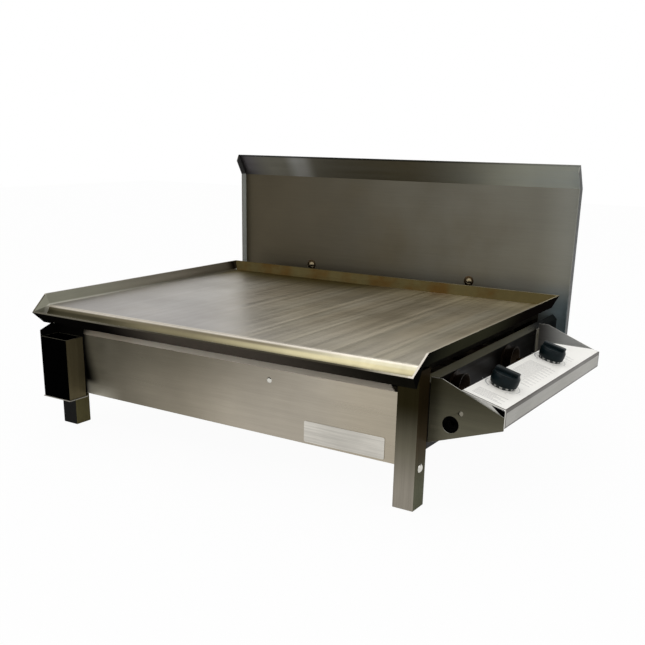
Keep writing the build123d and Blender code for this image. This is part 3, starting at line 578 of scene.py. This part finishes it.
def gutter_colours(recipe):
    """The gutter: a painted highlight at its bend, then browner, then pale gold, dark to the left and at the
    bottom, brightening to the right as painted reflection.
    """
    left_end = recipe.along("X", 0.02, 0.366)
    # Painted reflection: the gutter brightens towards the right.
    right_half = recipe.along("X", 0.601, 0.961)
    upper = recipe.mix(left_end, srgb(84, 78, 60), srgb(116, 108, 88))
    upper = recipe.mix(right_half, upper, srgb(200, 194, 168))
    left_third = recipe.along("X", 0.172, 0.394)
    golden = recipe.along("X", 0.394, 0.781)
    lower = recipe.mix(left_third, srgb(58, 54, 38), srgb(126, 118, 92))
    lower = recipe.mix(golden, lower, srgb(188, 179, 144))
    # Painted highlight at the lip's right end.
    lip_right = recipe.along("X", 0.864, 0.975)
    lip = recipe.mix(left_third, srgb(96, 92, 79), srgb(62, 58, 47))
    lip = recipe.mix(lip_right, lip, srgb(178, 172, 154))
    # Painted highlight on the bend, then the gutter's bands.
    colour = recipe.mix(recipe.near("Y", gutter_bend_y, *bend_to_upper_gutter), bend_shine(recipe), upper)
    colour = recipe.mix(recipe.near("Y", gutter_bend_y, *upper_to_lower_gutter), colour, lower)
    colour = recipe.mix(recipe.near("Y", gutter_bend_y, *lower_gutter_to_bottom), colour, srgb(84, 79, 62))
    colour = recipe.mix(recipe.near("Y", lip_y, *gutter_to_lip), colour, lip)
    return recipe.mix(recipe.near("X", right_bend_x, *gutter_to_flange), colour, srgb(204, 197, 186))


def griddle_edges(recipe):
    """The griddle's slopes: the gutter, the rear upstand with its rusty stains, and the grey side flanges,
    with painted shade at their rear ends and a painted highlight along the left bend.
    """
    stains = recipe.span(recipe.noise(22.0, detail=4.0), 0.4, 0.7)
    upstand = recipe.mix(stains, srgb(86, 77, 49), srgb(82, 62, 31))
    edges = recipe.mix(recipe.near("Y", gutter_bend_y, *gutter_to_upstand), gutter_colours(recipe), upstand)
    rearward = recipe.along("Y", 0.11, 0.727)
    flange = recipe.mix(rearward, srgb(130, 129, 115), srgb(156, 149, 135))
    # Painted shade in the corner by the rear upstand.
    flange = recipe.mix(recipe.near("Y", upstand_y, *flange_rear_end), flange, srgb(40, 34, 24))
    # Painted highlight along the left flange's bend.
    flange = recipe.mix(recipe.near("X", left_bend_x, *flange_bend_line), flange, srgb(178, 176, 164))
    sides = recipe.either(recipe.facing("X", 0.5, 0.8), recipe.facing("X", -0.5, -0.8))
    return recipe.mix(sides, edges, flange)


def ground_top(recipe):
    """The griddle's flat: light at the front left and browner to the rear right as painted reflection, with
    ground streaks, the upstand's painted reflection along its rear and a painted highlight at the bend.
    """
    rearward = recipe.along("Y", 0.057, 0.727)
    light = recipe.mix(rearward, srgb(154, 150, 146), srgb(158, 154, 147))
    front_half = recipe.along("Y", 0.057, 0.463)
    brown = recipe.mix(front_half, srgb(178, 171, 155), srgb(172, 161, 138))
    passes = recipe.span(recipe.noise(15.0, grain_stretch["Y"], detail=3.0), 0.42, 0.62)
    brown = recipe.mix(passes, brown, srgb(186, 178, 158))
    # Painted reflection of the splashback: browner towards the rear right.
    reflected_splash = recipe.span(recipe.slanting(reflection_direction), *reflection_band)
    flat = recipe.mix(reflected_splash, light, brown)
    oiled = recipe.span(recipe.noise(4.0, detail=4.0), 0.5, 0.8, 0.0, 0.5)
    flat = recipe.mix(oiled, flat, srgb(146, 136, 116))
    # Painted reflection of the upstand along the rear, dark at the left and light at the right.
    rightward = recipe.along("X", 0.421, 0.754)
    upstand_reflection = recipe.mix(rightward, srgb(98, 86, 45), srgb(216, 204, 174))
    rear_end = recipe.along("Y", 0.71, 0.97)
    flat = recipe.mix(rear_end, flat, upstand_reflection)
    # Painted highlight on the flat just before the bend.
    return recipe.mix(recipe.near("Y", gutter_bend_y, *flat_to_bend), flat, bend_shine(recipe))


def griddle_underside(recipe):
    """The griddle below and outside: burnt black and deepened by painted shade, a little paler in the middle
    and on the outer faces.
    """
    left_half = recipe.along("X", 0.214, 0.435)
    right_half = recipe.along("X", 0.56, 0.975)
    # Burnt black, deepened by painted shade.
    colour = recipe.mix(left_half, srgb(9, 8, 7), srgb(72, 66, 59))
    colour = recipe.mix(right_half, colour, srgb(18, 17, 13))
    from_front = recipe.along("Y", 0.022, 0.269)
    rearward = recipe.along("Y", 0.375, 0.727)
    # Painted shade: the outer faces darker towards the rear.
    outer = recipe.mix(from_front, srgb(8, 8, 8), srgb(46, 46, 34))
    outer = recipe.mix(rearward, outer, srgb(12, 9, 8))
    colour = recipe.mix(recipe.facing("X", 0.3, 0.6), colour, outer)
    return recipe.mix(recipe.facing("X", -0.5, -0.8), colour, srgb(50, 46, 38))


def griddle_steel():
    """The griddle: ground bright on top with front-to-back lines, burnt black below and outside and deepened
    by painted shade.
    """
    recipe = Recipe("griddle_steel", ["griddle_plate"], specular=0.0)
    top = recipe.facing("Z", 0.96, 0.995)
    upper = recipe.mix(top, griddle_edges(recipe), ground_top(recipe))
    right_end = recipe.near("X", right_bend_x, -flange_blur, 0.0)
    left_end = recipe.near("X", left_bend_x, flange_blur, 0.0)
    right_outside = recipe.both(recipe.facing("X", 0.3, 0.6), right_end)
    left_outside = recipe.both(recipe.facing("X", -0.3, -0.6), left_end)
    inside = recipe.opposite(recipe.either(right_outside, left_outside))
    unblackened = recipe.both(recipe.facing("Z", -0.15, 0.05), inside)
    on_upstand = recipe.near("Y", upstand_y, 0.0, upstand_blur)
    dull = recipe.both(on_upstand, recipe.opposite(top))
    recipe.feed("Metallic", recipe.combine("SUBTRACT", unblackened, dull))
    colour = recipe.mix(unblackened, griddle_underside(recipe), upper)
    return brushed(recipe, colour, "Y", contrast=0.07, smooth=0.34, rough=0.5)


def tin_steel():
    """The fat tin: black in front and inside, the inside as painted shade, dark olive at its sides, with a
    painted grey highlight on its rim.
    """
    recipe = Recipe("tin_steel", specular=0.0)
    low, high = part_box("fat_tin")
    half_wall = tin_wall / 2
    skin = recipe.near("X", high.x, -half_wall, 0.0)
    skin = recipe.either(skin, recipe.near("X", low.x, half_wall, 0.0))
    skin = recipe.either(skin, recipe.near("Y", high.y, -half_wall, 0.0))
    skin = recipe.either(skin, recipe.near("Z", low.z, half_wall, 0.0))
    side = recipe.both(recipe.facing("Y", -0.9, -0.3), skin)
    # Painted highlight: a grey line along the rim.
    rim = recipe.near("Z", high.z, -half_wall, 0.0)
    recipe.feed("Metallic", recipe.fade(recipe.either(side, rim), 0.0, 0.4))
    # Black in front and inside, the inside as painted shade.
    colour = recipe.mix(side, srgb(2, 2, 2), srgb(92, 84, 62))
    return brushed(recipe, recipe.mix(rim, colour, srgb(96, 92, 80)), "Z", contrast=0.12)


def bracket_steel():
    """The tin's bracket: near black, olive on its outer side, with a painted highlight on the rim of its
    shelf.
    """
    recipe = Recipe("bracket_steel", specular=0.0)
    # Painted highlight along the rim of the shelf.
    rim = recipe.near("Z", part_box("collector_bracket")[0].z, *bracket_rim_band)
    side = recipe.facing("X", -0.3, -0.8)
    recipe.feed("Metallic", recipe.either(rim, side))
    colour = recipe.mix(side, srgb(14, 13, 11), srgb(66, 60, 46))
    return brushed(recipe, recipe.mix(rim, colour, srgb(150, 146, 136)), "Z", contrast=0.12)


def bright_metal(name, colour):
    """Plated or machined small pieces."""
    recipe = Recipe(name)
    specks = recipe.noise(700.0, detail=3.0)
    tarnish = recipe.span(specks, 0.5, 0.8, 0.0, 0.25)
    recipe.feed("Base Color", recipe.mix(tarnish, colour, srgb(110, 104, 92)))
    recipe.feed("Roughness", recipe.span(specks, 0.3, 0.7, 0.16, 0.34))
    recipe.bump(specks, 0.05)
    return recipe.material


def burner_steel(name, unblackened, scorched):
    """Drawn tube, dulled and browned by the flame."""
    recipe = Recipe(name)
    scorch = recipe.span(recipe.noise(24.0, detail=5.0), 0.35, 0.7)
    return brushed(recipe, recipe.mix(scorch, unblackened, scorched), "X", smooth=0.4, rough=0.6)


def bezel_metal():
    """A dark ring with a row of bright studs."""
    recipe = Recipe("bezel_metal")
    across = recipe.combine("SUBTRACT", recipe.coordinate("X", "Generated"), 0.5)
    deep = recipe.combine("SUBTRACT", recipe.coordinate("Y", "Generated"), 0.5)
    turn = recipe.combine("ARCTAN2", deep, across)
    wave = recipe.combine("SINE", recipe.combine("MULTIPLY", turn, bezel_studs), 0.0)
    studs = recipe.span(wave, -0.1, 0.4)
    recipe.feed("Base Color", recipe.mix(studs, srgb(58, 61, 61), srgb(160, 161, 159)))
    recipe.feed("Roughness", recipe.span(recipe.noise(300.0), 0.3, 0.7, 0.22, 0.36))
    return recipe.material


def knob_plastic():
    """Moulded black plastic with a cool cast and a fine spark texture."""
    recipe = Recipe("knob_plastic", metallic=0.0, specular=0.12)
    cloud = recipe.noise(60.0, detail=3.0)
    recipe.feed("Base Color", recipe.mix(recipe.span(cloud, 0.3, 0.7), srgb(5, 13, 15), srgb(9, 21, 24)))
    recipe.feed("Roughness", recipe.span(cloud, 0.3, 0.7, 0.3, 0.44))
    recipe.bump(recipe.noise(1600.0), 0.12)
    return recipe.material


def printed_face(name, colour, dull):
    """A printed plastic or painted face: nearly even, with faint grime."""
    recipe = Recipe(name, metallic=0.0, roughness=0.4)
    recipe.feed("Base Color", grimy(recipe, colour, dull))
    recipe.feed("Roughness", recipe.span(recipe.noise(220.0), 0.3, 0.7, 0.34, 0.48))
    recipe.bump(recipe.noise(900.0), 0.04)
    return recipe.material


def black_fitting():
    """Near-black metal that stands in for the shade behind the access hole."""
    recipe = Recipe("black_fitting", metallic=0.0, specular=0.1)
    cloud = recipe.noise(120.0, detail=3.0)
    recipe.feed("Base Color", recipe.mix(recipe.span(cloud, 0.3, 0.7), srgb(8, 8, 8), srgb(18, 17, 15)))
    recipe.feed("Roughness", recipe.span(cloud, 0.3, 0.7, 0.4, 0.6))
    return recipe.material


def rubber():
    """Dull black, a little dusty, for the pieces that stand in for shade."""
    recipe = Recipe("rubber", metallic=0.0, roughness=0.7, specular=0.0)
    dust = recipe.noise(90.0, detail=4.0)
    recipe.feed("Base Color", recipe.mix(recipe.span(dust, 0.4, 0.8), srgb(3, 3, 3), srgb(10, 10, 9)))
    recipe.feed("Roughness", recipe.span(dust, 0.3, 0.7, 0.6, 0.8))
    return recipe.material


def dress(material, *names):
    """Gives a material to CAD nodes."""
    for name in names:
        mesh = nodes[name].data
        mesh.materials.clear()
        mesh.materials.append(material)


def soften(width, *names):
    """Rounds the sharp edges of CAD nodes by a little."""
    for name in names:
        weld = nodes[name].modifiers.new("weld", "WELD")
        weld.merge_threshold = weld_distance
        bevel = nodes[name].modifiers.new("bevel", "BEVEL")
        bevel.width = width
        bevel.segments = bevel_segments
        bevel.limit_method = "ANGLE"
        bevel.angle_limit = math.radians(bevel_angle)
        bevel.harden_normals = True


def dress_all(places):
    """Every CAD node's material, by what it is made of."""
    dress(front_panel_steel(), "front_panel")
    dress(leg_steel(), *legs)
    dress(end_plate_steel(), *end_plates)
    dress(side_steel(), *side_panels)
    dress(sheet_steel("frame_steel", srgb(112, 106, 92), "X"), "rear_panel", "heat_shield", "splash_straps")
    dress(burnt_steel(), *plate_rails, "manifold_brackets", "burner_brackets")
    dress(bracket_steel(), "collector_bracket")
    dress(splash_steel(), "splashback")
    dress(griddle_steel(), "griddle_plate")
    dress(tin_steel(), "fat_tin")
    dress(control_steel(places["front"]), "control_panel")
    tube = burner_steel("burner_steel", srgb(118, 108, 92), srgb(84, 62, 44))
    dress(tube, "gas_manifold", "front_burner", "rear_burner")
    # The venturi mouths: a darker copy of the burner tube, browned by flame and darkened as painted shade
    # under the griddle.
    dress(burner_steel("mouth_steel", srgb(50, 42, 34), srgb(38, 27, 18)), "front_venturi", "rear_venturi")
    dress(
        bright_metal("bright_plating", srgb(206, 204, 196)),
        "leg_bolts", "panel_screw", "rear_screws", "rail_screws", "strap_nuts",
    )
    dress(bright_metal("dull_bronze", srgb(126, 114, 90)), "strap_bolts")
    dress(bright_metal("dull_plating", srgb(122, 118, 106)), "end_plate_rivet")
    # The gas fitting near black, as painted shade in the access hole.
    dress(black_fitting(), "gas_inlet_fitting")
    brass_parts = ["injector", "tap_body", "tap_plug", "tap_stem", "tap_nut"]
    brass_nodes = [f"{end}_{part}" for end in ("front", "rear") for part in brass_parts]
    dress(bright_metal("brass", srgb(150, 122, 74)), *brass_nodes)
    dress(bezel_metal(), "front_bezel", "rear_bezel")
    dress(knob_plastic(), *knobs)


def soften_all():
    """Small radii on the edges that catch the light."""
    soften(sheet_bevel, "front_panel", "control_panel", *end_plates, *side_panels)
    soften(sheet_bevel, "fat_tin", "collector_bracket")
    soften(griddle_bevel, "griddle_plate")
    soften(leg_bevel, *legs)
    soften(knob_and_rail_bevel, *knobs, *plate_rails)


def rounded(width, height, corner, steps=5):
    """The outline of a rectangle with round corners."""
    points = []
    for quarter, (sign_x, sign_y) in enumerate(((1, 1), (-1, 1), (-1, -1), (1, -1))):
        middle_x = sign_x * (width / 2 - corner)
        middle_y = sign_y * (height / 2 - corner)
        for step in range(steps + 1):
            angle = math.radians(90 * (quarter + step / steps))
            points.append((middle_x + corner * math.cos(angle), middle_y + corner * math.sin(angle)))
    return points


def circle(radius, centre=(0, 0), steps=48):
    """The outline of a circle."""
    angles = [2 * math.pi * step / steps for step in range(steps)]
    return [(centre[0] + radius * math.cos(a), centre[1] + radius * math.sin(a)) for a in angles]


def mesh_of(name, curve):
    """The mesh that fills a curve or a text."""
    shape = bpy.data.objects.new(name, curve)
    mesh = bpy.data.meshes.new_from_object(shape)
    bpy.data.objects.remove(shape)
    return mesh


def mesh_piece(name, mesh, place, material, body):
    """A mesh put in its place, dressed, and made to ride on a body."""
    mesh.materials.clear()
    mesh.materials.append(material)
    piece = bpy.data.objects.new(name, mesh)
    bpy.context.scene.collection.objects.link(piece)
    piece.matrix_world = place
    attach(piece, body)


def flat_piece(name, outlines, thickness, place, material, body):
    """A thin flat piece cut to outlines (inner ones are holes), standing on the plane of a matrix."""
    curve = bpy.data.curves.new(name, "CURVE")
    curve.dimensions = "2D"
    curve.fill_mode = "BOTH"
    curve.extrude = thickness / 2
    for outline in outlines:
        spline = curve.splines.new("POLY")
        spline.points.add(len(outline) - 1)
        for point, (x, y) in zip(spline.points, outline):
            point.co = (x, y, 0, 1)
        spline.use_cyclic_u = True
    middle = place @ Matrix.Translation((0, 0, thickness / 2))
    mesh_piece(name, mesh_of(name, curve), middle, material, body)


def plane_at(origin, x_axis=(1, 0, 0), y_axis=(0, 0, 1)):
    """The matrix of a plane with X and Y along two directions, by default upright and facing the user."""
    x_axis = Vector(x_axis).normalized()
    y_axis = Vector(y_axis).normalized()
    turn = Matrix((x_axis, y_axis, x_axis.cross(y_axis))).transposed().to_4x4()
    return Matrix.Translation(origin) @ turn


def badge(material):
    """A bare pale plate low on the front panel."""
    panel_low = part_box("front_panel")[0]
    leg_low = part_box("leg_front_right")[0]
    width, height = badge_size
    x = leg_low.x - badge_from_leg - width / 2
    z = panel_low.z + badge_from_bottom + height / 2
    place = plane_at((x, panel_low.y, z))
    outline = [rounded(width, height, badge_corner)]
    flat_piece("badge_plate", outline, badge_thickness, place, material, "stand")


def tap_places():
    """The matrix of the control panel's face where each tap's axis meets it, by front and rear."""
    places = {}
    for joint in frame["joints"]:
        if joint["name"].endswith("_tap_turn"):
            axis = Vector(joint["axis"])
            length = Vector((0, axis.z, -axis.y))
            places[joint["name"].split("_")[0]] = plane_at(joint["pos_m"], length.cross(axis), length)
    return places


# Edges of the control panel's face
Limits = namedtuple("Limits", "inner outer near far")


def panel_limits(place):
    """The inner, outer, near and far edges of the control panel's face in a tap's own X and Y."""
    slope = place.to_3x3().col[0]
    length = place.to_3x3().col[1]
    low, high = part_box("control_panel")
    near_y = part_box("front_end_plate")[0].y
    far_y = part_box("rear_end_plate")[1].y - panel_end_setback
    inner, outer = ((x - place.translation.x) / slope.x for x in (low.x, high.x))
    near, far = ((y - place.translation.y) / length.y for y in (near_y, far_y))
    return Limits(inner, outer, near, far)


def panel_label(places, material):
    """The pale face of the control panel, with round holes for the two bezels and its rear corner cut."""
    place = places["front"]
    limits = panel_limits(place)
    left = limits.inner + label_margin
    right = limits.outer - label_margin
    front = limits.near + label_margin
    rear = limits.far - label_margin
    cut_run, cut_depth = label_corner_cut
    outline = [(left, front), (right, front), (right, rear), (left + cut_run, rear), (left, rear - cut_depth)]
    outlines = [outline]
    for other in places.values():
        centre = place.inverted() @ other.translation
        outlines.append(circle(label_hole, (centre.x, centre.y)))
    flat_piece("panel_label", outlines, label_thickness, place, material, "stand")


def polar(radius, angle):
    """A point at a radius and an angle."""
    return radius * math.cos(angle), radius * math.sin(angle)


def dial_marks(end, place, material):
    """A wedge that widens from low to high round a knob, with a number at each step."""
    start, stop = (math.radians(angle) for angle in dial_sweep)
    thin, thick = wedge_half_width
    outer = []
    inner = []
    for step in range(wedge_steps + 1):
        share = step / wedge_steps
        angle = start + (stop - start) * share
        half = thin + (thick - thin) * share
        outer.append(polar(dial_radius + half, angle))
        inner.append(polar(dial_radius - half, angle))
    face = place @ Matrix.Translation((0, 0, label_thickness))
    wedge = [outer + inner[::-1]]
    flat_piece(f"{end}_dial_wedge", wedge, print_lift, face, material, "stand")
    for step in range(digit_count):
        angle = start + (stop - start) * step / (digit_count - 1)
        dial_digit(f"{end}_dial_{step}", str(step), angle, face, material)


def dial_digit(name, text, angle, face, material):
    """One number on a dial, upright to someone at the barbecue's right side."""
    curve = bpy.data.curves.new(name, "FONT")
    curve.body = text
    curve.size = digit_height
    curve.align_x = "CENTER"
    curve.align_y = "CENTER"
    curve.extrude = print_lift / 2
    spot = (*polar(digit_radius, angle), print_lift / 2)
    place = face @ Matrix.Translation(spot) @ Matrix.Rotation(math.radians(90), 4, "Z")
    mesh_piece(name, mesh_of(name, curve), place, material, "stand")


def bolt_rings(material):
    """Washers under the two bolt heads on the splashback."""
    low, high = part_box("strap_bolts")
    outlines = [circle(ring_radius), circle(bolt_head_radius / 2)]
    for name, x in (("left", low.x + bolt_head_radius), ("right", high.x - bolt_head_radius)):
        place = plane_at((x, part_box("rear_panel")[0].y, high.z - bolt_head_radius))
        flat_piece(f"bolt_ring_{name}", outlines, ring_thickness, place, material, "stand")


def grommet(material):
    """A dark ring behind the access hole, standing in for the shade there, open in the middle for the gas
    pipe.
    """
    low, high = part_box("gas_inlet_fitting")
    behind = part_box("front_end_plate")[0].y + end_plate_sheet
    place = plane_at(((low.x + high.x) / 2, behind + hole_shade_thickness, (low.z + high.z) / 2))
    outlines = [circle(radius) for radius in hole_shade_radii]
    flat_piece("access_hole_shade", outlines, hole_shade_thickness, place, material, "stand")


def edge_seal(place, material):
    """A dark wedge between the front end plate and the outer corner of the panel, standing in for the shade
    inside the control box.
    """
    limits = panel_limits(place)
    corner = place @ Vector((limits.outer, limits.near, 0))
    low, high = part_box("front_end_plate")
    face = plane_at((high.x, low.y + end_plate_sheet + shade_wedge_setback, corner.z - shade_wedge_drop))
    outline = [(0, 0), (0, -shade_wedge_height), (-shade_wedge_run, shade_wedge_run * panel_slope)]
    flat_piece("edge_seal", [outline], shade_wedge_thickness, face, material, "stand")


def ruled_lines(places, material):
    """Plain grey rules on the label, across the panel, in the room beside the knobs."""
    place = places["front"]
    limits = panel_limits(place)
    rear_knob = (place.inverted() @ places["rear"].translation).y
    before_front, behind_front = front_knob_room
    before_rear, behind_rear = rear_knob_room
    rooms = (
        (limits.near + rule_front_margin, -before_front),
        (behind_front, rear_knob - before_rear),
        (rear_knob + behind_rear, rear_knob + rule_reach),
    )
    left = limits.inner + rule_inner_margin
    outlines = []
    for start, stop in rooms:
        for line in range(int((stop - start) / rule_pitch)):
            front = start + rule_pitch * line
            rear = front + rule_width
            right = limits.outer - rule_outer_margin - rule_stagger * (line % rule_lengths)
            outlines.append([(left, front), (right, front), (right, rear), (left, rear)])
    face = place @ Matrix.Translation((0, 0, label_thickness))
    flat_piece("label_rules", outlines, print_lift, face, material, "stand")


def add_pieces(places):
    """The plates, labels, marks and trim that are not in the CAD model."""
    badge(sheet_steel("badge_metal", srgb(200, 196, 187), "X"))
    panel_label(places, printed_face("label_face", srgb(248, 246, 240), srgb(226, 222, 214)))
    ink = printed_face("dial_ink", srgb(184, 184, 182), srgb(192, 191, 188))
    for end, place in places.items():
        dial_marks(end, place, ink)
    ruled_lines(places, printed_face("rule_ink", srgb(170, 169, 166), srgb(164, 163, 160)))
    # Near black for the pieces that stand in for shade.
    black = rubber()
    grommet(black)
    edge_seal(places["front"], black)
    bolt_rings(bright_metal("bronze_ring", srgb(98, 80, 56)))


def ray_share(tree):
    """1 for rays that look at the background directly or by reflection, and 0 for the rest."""
    path = tree.nodes.new("ShaderNodeLightPath")
    share = path.outputs["Is Camera Ray"]
    for name in ("Is Glossy Ray", "Is Transmission Ray"):
        node = tree.nodes.new("ShaderNodeMath")
        node.operation = "MAXIMUM"
        tree.links.new(share, node.inputs[0])
        tree.links.new(path.outputs[name], node.inputs[1])
        share = node.outputs["Value"]
    return share


def white_world():
    """White where it is seen, and an even soft light on the object."""
    world = bpy.data.worlds.new("studio")
    world.use_nodes = True
    tree = world.node_tree
    strength = tree.nodes.new("ShaderNodeMapRange")
    strength.inputs["To Min"].default_value = ambient_strength
    strength.inputs["To Max"].default_value = 1.0
    tree.links.new(ray_share(tree), strength.inputs["Value"])
    background = tree.nodes["Background"]
    background.inputs["Color"].default_value = (1, 1, 1, 1)
    tree.links.new(strength.outputs["Result"], background.inputs["Strength"])
    bpy.context.scene.world = world


def floor_material():
    """A pale floor that reads white and keeps a soft shadow."""
    material = bpy.data.materials.new("floor_white")
    material.use_nodes = True
    tree = material.node_tree
    tree.nodes.remove(tree.nodes["Principled BSDF"])
    matte = tree.nodes.new("ShaderNodeBsdfDiffuse")
    matte.inputs["Color"].default_value = (floor_white, floor_white, floor_white, 1)
    glow = tree.nodes.new("ShaderNodeEmission")
    mix = tree.nodes.new("ShaderNodeMixShader")
    share = tree.nodes.new("ShaderNodeMath")
    share.operation = "MULTIPLY"
    share.inputs[1].default_value = floor_glow
    tree.links.new(ray_share(tree), share.inputs[0])
    tree.links.new(share.outputs["Value"], mix.inputs["Fac"])
    tree.links.new(matte.outputs["BSDF"], mix.inputs[1])
    tree.links.new(glow.outputs["Emission"], mix.inputs[2])
    tree.links.new(mix.outputs["Shader"], tree.nodes["Material Output"].inputs["Surface"])
    return material


def floor():
    """A wide pale floor under the feet."""
    mesh = bpy.data.meshes.new("floor")
    corners = [(x * floor_half, y * floor_half, -floor_drop) for x, y in ((-1, -1), (1, -1), (1, 1), (-1, 1))]
    mesh.from_pydata(corners, [], [(0, 1, 2, 3)])
    mesh.materials.append(floor_material())
    ground = bpy.data.objects.new("floor", mesh)
    bpy.context.scene.collection.objects.link(ground)


def softbox(name, place, target, size, power):
    """A square soft light aimed at a point."""
    lamp = bpy.data.lights.new(name, "AREA")
    lamp.size = size
    lamp.energy = power
    holder = bpy.data.objects.new(name, lamp)
    holder.location = place
    holder.rotation_euler = (Vector(target) - Vector(place)).to_track_quat("-Z", "Y").to_euler()
    bpy.context.scene.collection.objects.link(holder)


def lights():
    """A key from the front left, a broader fill from the right and a large top light."""
    for name, (place, target, size, power) in lamps.items():
        softbox(name, place, target, size, power)


def camera():
    """The photograph's view."""
    data = bpy.data.cameras.new("photo_view")
    data.sensor_width = camera_sensor
    data.lens = camera_lens
    data.shift_x, data.shift_y = camera_shift
    holder = bpy.data.objects.new("photo_view", data)
    holder.location = camera_place
    holder.rotation_euler = [math.radians(angle) for angle in camera_turn]
    bpy.context.scene.collection.objects.link(holder)
    bpy.context.scene.camera = holder


taps = tap_places()
dress_all(taps)
soften_all()
add_pieces(taps)
white_world()
floor()
lights()
camera()
bpy.context.scene.view_settings.view_transform = "Standard"
